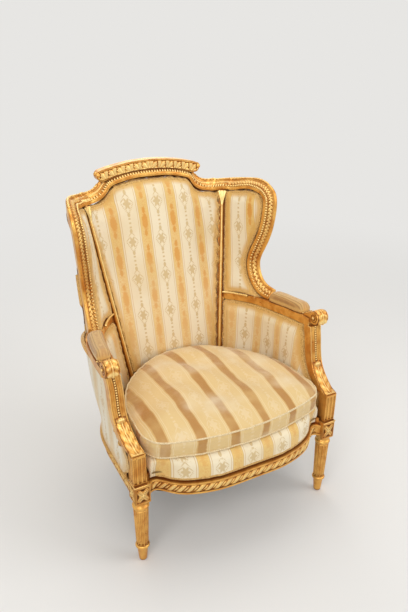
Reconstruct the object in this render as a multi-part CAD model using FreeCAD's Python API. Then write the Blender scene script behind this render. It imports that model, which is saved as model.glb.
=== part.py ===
import FreeCAD, Part
import math
import os

# A wing bergere in gilded wood with a loose seat cushion.
# Millimetres. X is across the chair, Y runs from the front to the back and Z is up.
# While it is drawn, Y is zero on the centre line of the front legs. At the end the whole
# chair is moved so that the origin lies on the floor under the middle of its outer box.

V = FreeCAD.Vector

# Seat frame, seen in plan
leg_half_spacing = 325.0
die_size = 46.0
rail_thickness = 30.0
front_bow = 86.0
front_rail_depth = 60.0
side_straight_end = 200.0
side_curve_radius = 285.0
side_curve_angle = 60.0

# Heights of the seat frame
rail_bottom = 240.0
rail_moulding_top = 279.0
rail_top = 300.0
rail_fillet = 6.0
rail_band_recess = 3.0
front_rebate = 14.0
side_rebate = 6.0
die_bottom = 228.0
die_top = 290.0
block_top = 390.0
block_width = 39.0
block_depth = 36.0
block_proud = 7.0
block_flute_width = 8.0
block_flute_depth = 3.0

# Turned legs
foot_radius = 12.0
ring_height = 56.0
ring_radius = 21.5
shaft_bottom_radius = 18.5
shaft_top_radius = 22.5
collar_height = 208.0
collar_radius = 25.0
flute_count = 12
flute_depth = 2.6
rear_leg_rake = 7.0

# Stiles, each one piece of wood with its rear leg
stile_width = 26.0
stile_depth = 30.0
stile_shoulder = 6.0
stile_bead_width = 12.0
stile_bead_length = 14.0
stile_lean_out = 0.134
stile_lean_back = 0.2365
stile_face_angle = 236.5
stile_top = 930.0

# Arms
arm_height = 600.0
arm_slope = 3.5
arm_thickness = 26.0
arm_front = 118.0
scroll_radius = 21.0
scroll_centre_y = 111.0
scroll_centre_z = 607.0
scroll_inner_x = 331.0
scroll_width = 43.0
spiral_groove = 3.0
spiral_depth = 2.0
support_width = 42.0
support_flute_depth = 2.5

# Moulded top frame: the section of its band
band_width = 36.0
band_slant = 30.0
band_back = 48.0

# Joinery
tenon_thickness = 12.0
tenon_length = 20.0
tenon_height = 32.0
tenon_clearance = 0.1
peg_radius = 3.0
screw_radius = 2.5

# Upholstery
fit_gap = 0.4
web_thickness = 2.0
web_width = 50.0
panel_thickness = 3.0
platform_top = 353.0
platform_inset = 47.0
cushion_bottom = platform_top + 0.3
cushion_seam = 410.0
cushion_crown = 34.0
cushion_inset = 45.0
cushion_skin = 1.6
manchette_height = 34.0

nodes = {}


def line(start, end):
    return Part.LineSegment(start, end).toShape()


def arc(start, middle, end):
    return Part.Arc(start, middle, end).toShape()


def spline(points):
    curve = Part.BSplineCurve()
    curve.interpolate(points)
    return curve.toShape()


def polygon(points):
    corners = list(points)
    corners.append(corners[0])
    return Part.makePolygon(corners)


def prism(wire, travel):
    return Part.Face(wire).extrude(travel)


def mirrored(shape):
    return shape.mirror(V(0, 0, 0), V(1, 0, 0))


def pair(name, shape):
    nodes[name + "_right"] = shape
    nodes[name + "_left"] = mirrored(shape)


def biggest(shape):
    return max(shape.Solids, key=lambda solid: solid.Volume)


def rod(start, end, radius):
    travel = end - start
    return Part.makeCylinder(radius, travel.Length, start, travel)


# The plan of the seat rails: straight beside the front legs, then drawn in to the rear legs
side_x = leg_half_spacing + die_size / 2 - 1.0
turn = math.radians(side_curve_angle)
side_centre = V(side_x - side_curve_radius, side_straight_end, 0)
heading = V(-math.sin(turn), math.cos(turn), 0)
outward = V(math.cos(turn), math.sin(turn), 0)
side_end = side_centre + outward * side_curve_radius
rear_die = side_end + heading * (die_size / 2) - outward * (die_size / 2)
back_start = side_end + heading * die_size
back_radius = back_start.x / math.cos(turn)
back_centre = V(0, back_start.y - back_radius * math.sin(turn), 0)


def side_plan(inset, z, start_y):
    # Outer line of a side rail moved in by inset, from the front to the rear leg
    radius = side_curve_radius - inset
    lift = V(0, 0, z)
    first = V(side_x - inset, start_y, z)
    bend = V(side_x - inset, side_straight_end, z)
    half = V(math.cos(turn / 2), math.sin(turn / 2), 0)
    middle = side_centre + half * radius + lift
    last = side_centre + outward * radius + lift
    return first, bend, middle, last


def side_points(inset, z, start_y):
    # The same line as points close enough for a smooth curve
    first, bend, middle, last = side_plan(inset, z, start_y)
    points = [first + (bend - first) * (step / 3.0) for step in range(4)]
    for step in range(1, 6):
        angle = turn * step / 5.0
        radius = side_curve_radius - inset
        points.append(side_centre + V(radius * math.cos(angle), radius * math.sin(angle), z))
    return points


def bow_points(depth, z):
    # Front rail in plan: a bow with a small hollow beside each leg
    inner = leg_half_spacing - die_size / 2
    right = [V(inner * across, -depth * out, z) for across, out in zip(front_shares, rail_shares)]
    left = [V(-point.x, point.y, z) for point in right]
    return left[:-1] + right[::-1]


# Turned and fluted legs
def fluted_wire(radius, z):
    edges = []
    pitch = 2 * math.pi / flute_count
    land = pitch * 0.28

    def at(angle, distance):
        return V(distance * math.cos(angle), distance * math.sin(angle), z)

    for index in range(flute_count):
        start = index * pitch
        flute = start + land
        end = start + pitch
        edges.append(arc(at(start, radius), at(start + land / 2, radius), at(flute, radius)))
        middle = at((flute + end) / 2, radius - flute_depth)
        edges.append(arc(at(flute, radius), middle, at(end, radius)))
    return Part.Wire(edges)


def turning(points):
    # points are (radius, height), or (radius, height, middle radius, middle height) for a curve
    edges = []
    here = V(0, 0, points[0][1])
    for point in points:
        there = V(point[0], 0, point[1])
        if len(point) == 4:
            edges.append(arc(here, V(point[2], 0, point[3]), there))
        else:
            edges.append(line(here, there))
        here = there
    top = V(0, 0, here.z)
    edges.append(line(here, top))
    edges.append(line(top, V(0, 0, points[0][1])))
    return Part.Face(Part.Wire(edges)).revolve(V(0, 0, 0), V(0, 0, 1), 360)


def turned_leg(floor):
    ring_half = 6.0
    collar_half = 7.0
    ring_low = ring_height - ring_half
    ring_high = ring_height + ring_half
    shaft_low = ring_high + 5.0
    collar_low = collar_height - collar_half
    collar_high = collar_height + collar_half
    shaft_high = collar_low - 4.0
    foot = turning([
        (foot_radius - 3.0, floor),
        (foot_radius, floor + 4.0, foot_radius - 0.6, floor + 1.5),
        (ring_radius - 5.0, ring_low),
        (ring_radius - 5.0, ring_high, ring_radius, ring_height),
        (shaft_bottom_radius, shaft_low, shaft_bottom_radius - 2.2, shaft_low - 2.5)])
    shaft = Part.makeLoft([fluted_wire(shaft_bottom_radius, shaft_low),
                           fluted_wire(shaft_top_radius, shaft_high)], True, True)
    head = turning([
        (shaft_top_radius, shaft_high),
        (collar_radius - 4.0, collar_low, shaft_top_radius - 1.5, shaft_high + 2.0),
        (collar_radius - 4.0, collar_high, collar_radius, collar_height),
        (collar_radius - 3.0, die_bottom, collar_radius - 6.5, collar_high + 5.0)])
    return foot.fuse([shaft, head]).removeSplitter()


def tenon(place, along, across, reach, grow):
    # A tongue that runs along, from its shoulder at place, with its width across
    half = tenon_thickness / 2 + grow
    low = rail_bottom + (rail_moulding_top - rail_bottom - tenon_height) / 2 + 4.0 - grow
    corners = []
    for side, run in ((-1, -1.0), (1, -1.0), (1, reach + grow), (-1, reach + grow)):
        corners.append(place + across * (half * side) + along * run + V(0, 0, low))
    return prism(polygon(corners), V(0, 0, tenon_height + 2 * grow))


front_shoulder = V(leg_half_spacing - die_size / 2, 2.0, 0)
side_shoulder = V(leg_half_spacing + 8.0, die_size / 2, 0)
rear_line = rear_die + outward * (die_size / 2 - rail_thickness / 2)
rear_shoulder = rear_line - heading * (die_size / 2)
back_shoulder = rear_line + heading * (die_size / 2)
ahead = V(0, -1, 0)
beside = V(1, 0, 0)
front_tenon = (front_shoulder, beside, V(0, 1, 0), tenon_length)
side_tenon = (side_shoulder, ahead, beside, tenon_length)
rear_tenon = (rear_shoulder, heading, outward, tenon_length)
back_tenon = (back_shoulder, heading * -1.0, outward, tenon_length)


def rotated_box(centre, low, high, size):
    corners = []
    for along_side, out_side in ((-1, -1), (1, -1), (1, 1), (-1, 1)):
        shift = heading * (along_side * size / 2) + outward * (out_side * size / 2)
        corners.append(centre + shift + V(0, 0, low))
    return prism(polygon(corners), V(0, 0, high - low))


# Front legs: turned leg, square die and fluted block in one piece of wood
def front_leg():
    leg = turned_leg(0.0)
    half = die_size / 2
    die = Part.makeBox(die_size, die_size, die_top - die_bottom, V(-half, -half, die_bottom))
    block_front = -half + block_proud
    block_low = V(-block_width / 2 + 4.0, block_front, die_top)
    block = Part.makeBox(block_width, block_depth, block_top - die_top, block_low)
    radius = (block_flute_width ** 2 / 4 + block_flute_depth ** 2) / (2 * block_flute_depth)
    back = radius - block_flute_depth
    pitch = block_width / 3
    flute_height = block_top - die_top - 16.0
    for index in range(3):
        x = block_low.x + pitch * (index + 0.5)
        start = V(x, block_front - back, die_top + 8.0)
        block = block.cut(Part.makeCylinder(radius, flute_height, start))
        y = block_front + block_depth / 3 * (index + 0.5)
        start = V(block_low.x + block_width + back, y, die_top + 8.0)
        block = block.cut(Part.makeCylinder(radius, flute_height, start))
    leg = leg.fuse([die, block])
    leg.translate(V(leg_half_spacing, 0, 0))
    leg = leg.cut(tenon(*front_tenon, tenon_clearance))
    return leg.cut(tenon(*side_tenon, tenon_clearance))


# Rear legs: raked turned leg, die, and the stile that leans out and back above the seat
def stile_nose(z):
    return V(160.5 + stile_lean_out * (z - die_top), 417.5 + stile_lean_back * (z - die_top), z)


face_turn = math.radians(stile_face_angle)
facing = V(math.cos(face_turn), math.sin(face_turn), 0)
sideways = V(-facing.y, facing.x, 0)


def beside_stile(z, across, forward):
    # A point beside the stile: across is towards the arm, forward is from its centre
    reach = stile_shoulder + stile_bead_length
    return stile_nose(z) + sideways * across + facing * (forward - reach)


def stile_section(z):
    half = stile_width / 2
    bead = stile_bead_width / 2
    shoulder = stile_shoulder
    nose = shoulder + stile_bead_length
    back = shoulder - stile_depth
    corners = ((-half, shoulder), (-half, back), (half, back), (half, shoulder),
               (bead, shoulder), (bead, nose - bead))
    points = [beside_stile(z, across, forward) for across, forward in corners]
    other = [beside_stile(z, -bead, nose - bead), beside_stile(z, -bead, shoulder)]
    edges = [line(points[index], points[index + 1]) for index in range(5)]
    edges.append(arc(points[5], beside_stile(z, 0, nose), other[0]))
    edges.append(line(other[0], other[1]))
    edges.append(line(other[1], points[0]))
    return Part.Wire(edges)


# The moulded band of the top frame follows these stations: x, y, z of its outer edge and
# the direction, in degrees from +X, that its outer side faces
crest_stations = ((0, 658, 1029, 90), (70, 658, 1026, 90), (130, 659, 1014, 90),
                  (160, 661, 1002, 90), (178, 663, 984, 88), (194, 662, 967, 84),
                  (216, 658, 958, 74), (237, 649, 957, 62), (256, 630, 959, 50))
wing_stations = ((290, 584, 968, 34), (317, 540, 975, 24), (338, 477, 983, 15),
                 (349, 424, 974, 10), (353, 383, 942, 8), (350, 373, 890, 8),
                 (344, 381, 820, 8), (334, 406, 748, 8), (327, 421, 698, 8),
                 (328, 402, 647, 8), (334, 370, 626, 8), (341, 340, 620, 8))
right_stations = crest_stations + wing_stations
left_stations = tuple((-x, y, z, 180 - angle) for x, y, z, angle in right_stations[:0:-1])
all_stations = left_stations + right_stations
centre_station = len(left_stations)
band_curve = Part.BSplineCurve()
band_curve.interpolate([V(x, y, z) for x, y, z, angle in all_stations])


def band_point(station, inward, deep):
    # A point of the band at a station: inward from its outer side, deep below its edge
    x, y, z, angle = all_stations[station]
    edge = V(x, y, z)
    run = band_curve.tangent(band_curve.parameter(edge))[0]
    spread = math.radians(angle)
    out = V(math.cos(spread), math.sin(spread), 0)
    out = (out - run * out.dot(run)).normalize()
    down = out.cross(run).normalize()
    return edge - out * inward + down * deep


def band_section(station):
    def at(inward, deep):
        return band_point(station, inward, deep)

    width = band_width
    slant = band_slant
    edges = [
        arc(at(0, 8), at(4, 1), at(11, 5)),
        line(at(11, 5), at(13, 9)),
        line(at(13, 9), at(width - 8, slant - 9)),
        arc(at(width - 8, slant - 9), at(width - 2, slant - 6), at(width, slant)),
        line(at(width, slant), at(width, slant + 4)),
        line(at(width, slant + 4), at(0, band_back)),
        line(at(0, band_back), at(0, 8))]
    return Part.Wire(edges)


def band(first, last):
    sections = [band_section(index) for index in range(first, last + 1)]
    return Part.makeLoft(sections, True, False)


stile_station = centre_station + len(crest_stations) - 1


def rear_leg():
    leg = turned_leg(-3.0)
    leg.rotate(V(0, 0, die_bottom), V(1, 0, 0), rear_leg_rake)
    leg.translate(V(rear_die.x, rear_die.y, 0))
    floor = Part.makeBox(200, 200, 40, V(rear_die.x - 100, rear_die.y - 100, -40))
    leg = leg.cut(floor)
    die = rotated_box(rear_die, die_bottom - 2.0, rail_moulding_top, die_size)
    stile = Part.makeLoft([stile_section(rail_moulding_top - 4.0), stile_section(stile_top)], True, True)
    top = Part.makeLoft([band_section(stile_station), band_section(stile_station + 1)], True, True)
    leg = leg.fuse([die, stile, top])
    leg = leg.cut(tenon(*rear_tenon, tenon_clearance))
    return leg.cut(tenon(*back_tenon, tenon_clearance))


# Seat rails with a recessed band between two fillets and a rebate for the covers
def front_rail():
    inner = leg_half_spacing - die_size / 2
    rear = front_rail_depth - front_bow
    layers = ((rail_bottom, rail_fillet, 0.0),
              (rail_bottom + rail_fillet, rail_moulding_top - rail_bottom - 2 * rail_fillet, rail_band_recess),
              (rail_moulding_top - rail_fillet, rail_fillet, 0.0),
              (rail_moulding_top, rail_top - rail_moulding_top, front_rebate))
    solids = []
    for low, height, inset in layers:
        front = [V(point.x, point.y + inset, low) for point in bow_points(front_bow, low)]
        right = V(inner, die_size / 2, low)
        left = V(-inner, die_size / 2, low)
        wire = Part.Wire([spline(front), line(front[-1], right),
                          arc(right, V(0, rear, low), left), line(left, front[0])])
        solids.append(prism(wire, V(0, 0, height)))
    tongue = tenon(*front_tenon, 0.0)
    solids.append(tongue)
    solids.append(mirrored(tongue))
    return solids[0].fuse(solids[1:])


def side_strip(inset, depth, low, high, start_y):
    outer = side_plan(inset, low, start_y)
    inner = side_plan(inset + depth, low, start_y)
    wire = Part.Wire([line(outer[0], outer[1]), arc(outer[1], outer[2], outer[3]),
                      line(outer[3], inner[3]), arc(inner[3], inner[2], inner[1]),
                      line(inner[1], inner[0]), line(inner[0], outer[0])])
    return prism(wire, V(0, 0, high - low))


def side_rail():
    start = die_size / 2
    low = rail_bottom + rail_fillet
    high = rail_moulding_top - rail_fillet
    solids = [side_strip(0, rail_thickness, rail_bottom, low, start),
              side_strip(rail_band_recess, rail_thickness - rail_band_recess, low, high, start),
              side_strip(0, rail_thickness, high, rail_moulding_top, start),
              side_strip(side_rebate, rail_thickness - side_rebate, rail_moulding_top, rail_top, start),
              tenon(*side_tenon, 0.0),
              tenon(*rear_tenon, 0.0)]
    return solids[0].fuse(solids[1:])


def back_strip(inset, depth, low, high, end_angle=side_curve_angle):
    outer = back_radius - inset
    inner = outer - depth
    lift = V(0, 0, low)
    end = math.radians(end_angle)
    right = V(math.cos(end), math.sin(end), 0)
    left = V(-right.x, right.y, 0)
    wire = Part.Wire([
        arc(back_centre + right * outer + lift, back_centre + V(0, outer, low), back_centre + left * outer + lift),
        line(back_centre + left * outer + lift, back_centre + left * inner + lift),
        arc(back_centre + left * inner + lift, back_centre + V(0, inner, low), back_centre + right * inner + lift),
        line(back_centre + right * inner + lift, back_centre + right * outer + lift)])
    return prism(wire, V(0, 0, high - low))


def back_rail():
    tongue = tenon(*back_tenon, 0.0)
    solids = [back_strip(0, rail_thickness, rail_bottom, rail_moulding_top),
              back_strip(side_rebate, rail_thickness - side_rebate, rail_moulding_top, rail_top),
              tongue, mirrored(tongue)]
    return solids[0].fuse(solids[1:])


# Crest rail: the band from stile to stile under a raised arched cap with an ear at each end
def crest_rail():
    rail = band(2 * centre_station - stile_station, stile_station)
    front = 636.0
    depth = 29.0
    ear = V(178, front, 1023.5)
    notch = V(176, front, 990)
    step = V(162, front, 989)

    def other(point):
        return V(-point.x, point.y, point.z)

    edges = [arc(other(ear), V(0, front, 1048), ear),
             arc(ear, V(189, front, 1007), notch),
             line(notch, step),
             arc(step, V(0, front, 1013), other(step)),
             line(other(step), other(notch)),
             arc(other(notch), V(-189, front, 1007), other(ear))]
    cap = prism(Part.Wire(edges), V(0, depth, 0))
    rail = rail.fuse(cap)
    return rail


def wing_frame():
    wing = band(stile_station + 1, len(all_stations) - 1)
    return wing.cut(arm_space(0.0, arm_height, 0.0))


# Arm rails lie in a plane that falls towards the back
def tilt_arm(shape):
    shape.rotate(V(0, arm_front, arm_height), V(1, 0, 0), -arm_slope)
    return shape


def arm_top(y):
    return arm_height - (y - arm_front) * math.tan(math.radians(arm_slope))


def arm_space(above, below, gap):
    # The slab between two planes parallel to the arm, for trimming what meets it
    low = V(0, -100, arm_height - below - gap)
    return tilt_arm(Part.makeBox(500, 800, above + below + 2 * gap, low))


arm_inner = ((325, 128), (319, 188), (309, 255), (296, 322), (279, 386), (249, 441), (208, 494))
arm_outer = ((373, 128), (371, 185), (366, 250), (357, 318), (339, 374), (312, 424), (276, 470), (232, 512))


def spiral(turns, start_radius, width):
    # A flat groove that winds in by half turns, each round the other of two centres
    centre = V(0, scroll_centre_y, scroll_centre_z)
    outer = []
    inner = []
    shrink = start_radius / (turns * 2 + 1.6)
    for index in range(turns * 2):
        side = 1 if index % 2 == 0 else -1
        radius = start_radius - shrink * (index + 0.5)
        hub = centre + V(0, 0, side * shrink / 2)
        for edges, reach in ((outer, radius), (inner, radius - width)):
            start = hub + V(0, 0, side * reach)
            middle = hub + V(0, -side * reach, 0)
            end = hub - V(0, 0, side * reach)
            edges.append((start, middle, end))
    edges = [arc(*points) for points in outer]
    edges.append(line(outer[-1][2], inner[-1][2]))
    edges.extend(arc(*reversed(points)) for points in reversed(inner))
    edges.append(line(inner[0][0], outer[0][0]))
    return Part.Wire(edges)


def arm_rail():
    low = arm_height - arm_thickness
    inner = [V(x, y, low) for x, y in arm_inner]
    outer = [V(x, y, low) for x, y in arm_outer]
    wire = Part.Wire([spline(inner), line(inner[-1], outer[-1]),
                      spline(outer[::-1]), line(outer[0], inner[0])])
    rail = tilt_arm(prism(wire, V(0, 0, arm_thickness)))
    inside = V(scroll_inner_x, scroll_centre_y, scroll_centre_z)
    scroll = Part.makeCylinder(scroll_radius, scroll_width, inside, V(1, 0, 0))
    start = V(scroll_inner_x, scroll_centre_y, scroll_centre_z + scroll_radius)
    neck = polygon([start, V(scroll_inner_x, 166, arm_top(166) + 2.0),
                    V(scroll_inner_x, 166, arm_top(166) - arm_thickness / 2),
                    V(scroll_inner_x, scroll_centre_y, scroll_centre_z - scroll_radius)])
    neck = prism(neck, V(scroll_width - 3.0, 0, 0))
    rail = rail.fuse([scroll, neck])
    groove = Part.Face(spiral(2, scroll_radius - 2.5, spiral_groove))
    inner_cut = groove.extrude(V(spiral_depth, 0, 0))
    inner_cut.translate(V(scroll_inner_x, 0, 0))
    outer_cut = groove.extrude(V(spiral_depth, 0, 0))
    outer_cut.translate(V(scroll_inner_x + scroll_width - spiral_depth, 0, 0))
    rail = rail.cut(inner_cut).cut(outer_cut)
    return biggest(rail.cut(nodes["rear_leg_right"]))


# Arm supports: y and z of the fluted front face, x of the centre line, the slope of the
# section below the level, and its depth
support_stations = ((-14, 390, 330, 0, 32), (20, 399, 333, 22, 28), (52, 418, 337, 36, 28),
                    (78, 444, 340, 34, 29), (93, 476, 342, 18, 30), (100, 515, 342, 8, 31),
                    (107, 550, 343, 4, 32), (112, 590, 345, 0, 34))


def support_section(y, z, x, slope, depth):
    fall = math.radians(slope)
    back = V(0, math.cos(fall), -math.sin(fall))
    land = 3.6
    flute = (support_width - 4 * land) / 3
    origin = V(x, y, z)

    def at(across, deep):
        return origin + V(across, 0, 0) + back * deep

    edges = []
    here = -support_width / 2
    for index in range(3):
        edges.append(line(at(here, 0), at(here + land, 0)))
        here += land
        edges.append(arc(at(here, 0), at(here + flute / 2, support_flute_depth), at(here + flute, 0)))
        here += flute
    half = support_width / 2
    edges.append(line(at(here, 0), at(half, 0)))
    edges.append(line(at(half, 0), at(half, depth)))
    edges.append(line(at(half, depth), at(-half, depth)))
    edges.append(line(at(-half, depth), at(-half, 0)))
    return Part.Wire(edges)


def arm_support():
    sections = [support_section(*station) for station in support_stations]
    support = Part.makeLoft(sections, True, False)
    support = biggest(support.cut(arm_space(60.0, arm_thickness, 0.0)))
    return biggest(support.cut(nodes["arm_rail_right"]))


# Smooth patches between four edges, and slabs between two patches
def along(points, count):
    return spline(points).discretize(count)


def patch(bottom, top, left, right, rows, columns, crown, push):
    low = along(bottom, columns)
    high = along(top, columns)
    near = along(left, rows)
    far = along(right, rows)
    grid = []
    for row in range(rows):
        v = row / (rows - 1)
        points = []
        for column in range(columns):
            u = column / (columns - 1)
            across = near[row] * (1 - u) + far[row] * u
            upward = low[column] * (1 - v) + high[column] * v
            corners = low[0] * ((1 - u) * (1 - v)) + low[-1] * (u * (1 - v))
            corners = corners + high[0] * ((1 - u) * v) + high[-1] * (u * v)
            swell = crown * (1 - (2 * u - 1) ** 4) * (1 - (2 * v - 1) ** 4)
            points.append(across + upward - corners + push * swell)
        grid.append(points)
    return grid


def slab(front, back):
    skins = []
    for grid in (front, back):
        skin = Part.BSplineSurface()
        skin.interpolate(grid)
        skins.append(skin)
    faces = [skin.toShape() for skin in skins]
    u0, u1, v0, v1 = skins[0].bounds()
    s0, s1, t0, t1 = skins[1].bounds()
    for one, two in ((u0, s0), (u1, s1)):
        faces.append(Part.makeRuledSurface(skins[0].uIso(one).toShape(), skins[1].uIso(two).toShape()))
    for one, two in ((v0, t0), (v1, t1)):
        faces.append(Part.makeRuledSurface(skins[0].vIso(one).toShape(), skins[1].vIso(two).toShape()))
    shell = Part.makeCompound(faces)
    shell.sewShape(0.01)
    solid = Part.Solid(shell.Shells[0])
    if solid.Volume < 0:
        solid.reverse()
    return solid


def moved(grid, shift):
    return [[point + shift for point in row] for row in grid]


def sheet(grid, thickness):
    # A slab of even thickness behind a grid of points
    rows = len(grid)
    columns = len(grid[0])
    behind = []
    for row in range(rows):
        points = []
        for column in range(columns):
            up = grid[min(row + 1, rows - 1)][column] - grid[max(row - 1, 0)][column]
            over = grid[row][min(column + 1, columns - 1)] - grid[row][max(column - 1, 0)]
            points.append(grid[row][column] + up.cross(over).normalize() * thickness)
        behind.append(points)
    return slab(behind, grid)


# Inside back, from one stile to the other and from the seat to the crest
edge_wood = band_slant + 8.0
rear_wood = band_back + 4.5
pad_forward = stile_shoulder + 9.0
crest_range = range(2 * centre_station - stile_station + 1, stile_station)
pad_foot = platform_top + 3.0
pad_head = stile_top - 4.0


def back_edges(across, forward, middle, low, high, inward, deep):
    # The four edges of a sheet between the stiles, from below to the crest
    def other(point):
        return V(-point.x, point.y, point.z)

    right = [beside_stile(z, across, forward) for z in (low, (low + high) / 2, high)]
    left = [other(point) for point in right]
    bottom = arc(left[0], V(0, middle, low), right[0]).discretize(5)
    top = [band_point(index, inward, deep) for index in crest_range]
    top = [left[-1]] + top + [right[-1]]
    return bottom, top, left, right


def back_pad():
    front = patch(*back_edges(-8.0, pad_forward, 457, pad_foot, pad_head, band_width, edge_wood),
                  8, 17, 9.0, V(0, -1, 0))
    rear = patch(*back_edges(-17.0, 0.0, 484, pad_foot, pad_head, 10.0, rear_wood),
                 8, 17, 0.0, V(0, 1, 0))
    return front, rear


back_front, back_rear = back_pad()


def back_webs():
    # Straps behind the inside pad: three across, and three upright behind those
    def blend(one, two, share):
        return [a * (1 - share) + b * share for a, b in zip(one, two)]

    straps = []
    for index in (1, 3, 4):
        low = back_rear[index]
        high = back_rear[index + 1]
        strip = moved([low, blend(low, high, 0.3), blend(low, high, 0.6)], V(0, 0.9, 0))
        straps.append(slab(strip, moved(strip, V(0, web_thickness, 0))))
    columns = [list(column) for column in zip(*back_rear[:-1])]
    for index in (3, 7, 11):
        near = columns[index]
        far = columns[index + 1]
        strip = moved([near, blend(near, far, 0.5), blend(near, far, 1.0)], V(0, 1.8 + web_thickness, 0))
        straps.append(slab(strip, moved(strip, V(0, web_thickness, 0))))
    return Part.makeCompound(straps)


def outside_back():
    low = rail_moulding_top + fit_gap
    back = stile_shoulder - stile_depth - 1.0 - panel_thickness
    middle = back_centre.y + back_radius - 1.5
    edges = back_edges(8.0, back, middle, low, 912.0, 1.0, rear_wood)
    return sheet(patch(*edges, 8, 17, 0.0, V(0, 1, 0)), -panel_thickness)


# Inside wing, from the stile to the moulded band
def wing_pad():
    low = arm_top(480) + 1.0
    front_range = range(len(all_stations) - 2, stile_station + 5, -1)
    top_range = range(stile_station + 1, stile_station + 5)

    def edges(across, forward, shift, inward, deep):
        left = [beside_stile(z, across, forward) for z in (low, 750.0, pad_head)]
        bottom = [left[0]]
        for x, y in ((251, 441), (281, 386), (298, 356)):
            bottom.append(V(x + shift, y, arm_top(y) + 1.0))
        right = [bottom[-1]] + [band_point(index, inward, deep) for index in front_range]
        top = [left[-1]] + [band_point(index, inward, deep) for index in top_range]
        right.append(top[-1])
        return bottom, top, left, right

    front = patch(*edges(8.0, pad_forward, 0.0, band_width, edge_wood), 9, 9, 7.0, V(-0.8, -0.6, 0))
    rear = patch(*edges(17.0, 0.0, 24.0, 10.0, rear_wood), 9, 9, 0.0, V(1, 0, 0))
    return slab(front, rear)


def outside_wing():
    back = stile_shoulder - stile_depth - 1.0 - panel_thickness
    left = [beside_stile(z, 11.0, back) for z in (553.0, 740.0, 905.0)]
    bottom = [left[0]]
    for x, y in ((271, 498), (299, 472), (323, 441)):
        bottom.append(V(x, y, arm_top(y) - arm_thickness + 0.5))
    first = len(all_stations) - 3
    right = [bottom[-1], band_point(first, 1.0, rear_wood + 4.0)]
    right = right + [band_point(index, 1.0, rear_wood) for index in range(first - 1, stile_station + 4, -1)]
    top = [left[-1]] + [band_point(index, 1.0, rear_wood) for index in range(stile_station + 1, stile_station + 5)]
    right[-1] = top[-1]
    return sheet(patch(bottom, top, left, right, 9, 9, 0.0, V(1, 0, 0)), -panel_thickness)


# Inside and outside of each arm
support_back = ((25, 330), (25, 352), (29, 369), (54, 383), (82, 399), (106, 424), (126, 464), (135, 510), (142, 548))


def arm_pad_inside():
    low = rail_top + web_thickness * 2 + 2.0

    def edges(inset, shift, across, forward):
        end = beside_stile(low, across, forward)
        bottom = side_points(inset, low, 28.0) + [end]
        top = []
        for x, y in arm_inner[:-1]:
            if y > 140:
                top.append(V(x - 2.0 + shift, y, arm_top(y) - arm_thickness - 1.0))
        start = V(323.0 + shift, 146, arm_top(146) - arm_thickness - 1.0)
        top = [start] + top + [beside_stile(arm_top(490) - arm_thickness - 1.0, across, forward)]
        left = [bottom[0]]
        for index, (y, z) in enumerate(support_back):
            left.append(V(314.0 + shift + index, y + 4.0, z))
        left.append(start)
        right = [end, beside_stile(430.0, across, forward), top[-1]]
        return bottom, top, left, right

    front = patch(*edges(33.0, 0.0, 8.0, pad_forward), 9, 11, 11.0, V(-0.95, -0.3, 0))
    rear = patch(*edges(11.0, 22.0, 17.0, 0.0), 9, 11, 0.0, V(1, 0, 0))
    return slab(front, rear)


def arm_panel_outside():
    low = rail_moulding_top + fit_gap
    back = stile_shoulder - stile_depth - 1.0 - panel_thickness
    right = [beside_stile(z, 10.5, back) for z in (low, 420.0, arm_top(530) - arm_thickness - 0.8)]
    bottom = side_points(1.5, low, 29.0) + [right[0]]
    top = []
    for x, y in ((351, 150), (352, 240), (350, 330), (341, 388), (323, 441), (299, 472), (271, 498)):
        top.append(V(x, y, arm_top(y) - arm_thickness - 0.8))
    top.append(right[-1])
    left = [bottom[0]]
    for index, (y, z) in enumerate(support_back):
        left.append(V(side_x - 1.5 + index * 0.5, y + 4.0, z))
    left.append(top[0])
    return sheet(patch(bottom, top, left, right, 9, 11, 0.0, V(1, 0, 0)), -panel_thickness)


def stacked(outline, levels):
    return Part.makeLoft([outline(inset, z) for inset, z in levels], True, False)


def manchette_outline(inset, z):
    # Arm pad in plan, following the curve of the arm from the scroll back to the wing
    inner = ((327, 176), (322, 205), (315, 255), (305, 300), (300, 322))
    outer = ((369, 176), (368, 205), (363, 255), (356, 300), (352, 322))
    near = [V(x + inset, y + (inset if y < 180 else 0) - (inset if y > 320 else 0), z) for x, y in inner]
    far = [V(x - inset, y + (inset if y < 180 else 0) - (inset if y > 320 else 0), z) for x, y in outer]
    low = V((near[0].x + far[0].x) / 2, near[0].y - 6.0, z)
    high = V((near[-1].x + far[-1].x) / 2, near[-1].y + 6.0, z)
    return Part.Wire([spline(near), arc(near[-1], high, far[-1]), spline(far[::-1]), arc(far[0], low, near[0])])


def manchette():
    base = arm_height + fit_gap
    top = manchette_height
    levels = ((1.0, base), (0.0, base + top * 0.35), (3.0, base + top * 0.7), (8.0, base + top * 0.92),
              (14.0, base + top))
    return tilt_arm(stacked(manchette_outline, levels))


# Seat: webbing on the rails, hessian, stuffed platform and the cloth under the frame
front_shares = (1.0, 0.93, 0.8, 0.61, 0.35, 0.0)
rail_shares = (0.15, 0.0, 0.37, 0.77, 0.985, 1.01)
smooth_shares = (0.14, 0.27, 0.49, 0.76, 0.95, 1.0)


def seat_wire(inset, bow, hollow, back, z):
    # Plan of a layer of the seat: its front bows out by bow, with the rail's hollows where hollow is 1
    half = side_x - inset
    front = []
    for across, rail, smooth in zip(front_shares, rail_shares, smooth_shares):
        front.append(V(-half * across, back - bow * (rail * hollow + smooth * (1 - hollow)), z))
    front = front + [V(-point.x, point.y, z) for point in front[-2::-1]]
    first, bend, middle, last = side_plan(inset, z, front[-1].y)
    reach = back_radius - inset
    lift = V(0, 0, z)
    rear = back_centre + outward * reach + lift
    tail = back_centre + V(0, reach, z)

    def other(point):
        return V(-point.x, point.y, point.z)

    return Part.Wire([spline(front), line(first, bend), arc(bend, middle, last), line(last, rear),
                      arc(rear, tail, other(rear)), line(other(rear), other(last)),
                      arc(other(last), other(middle), other(bend)), line(other(bend), other(first))])


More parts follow.
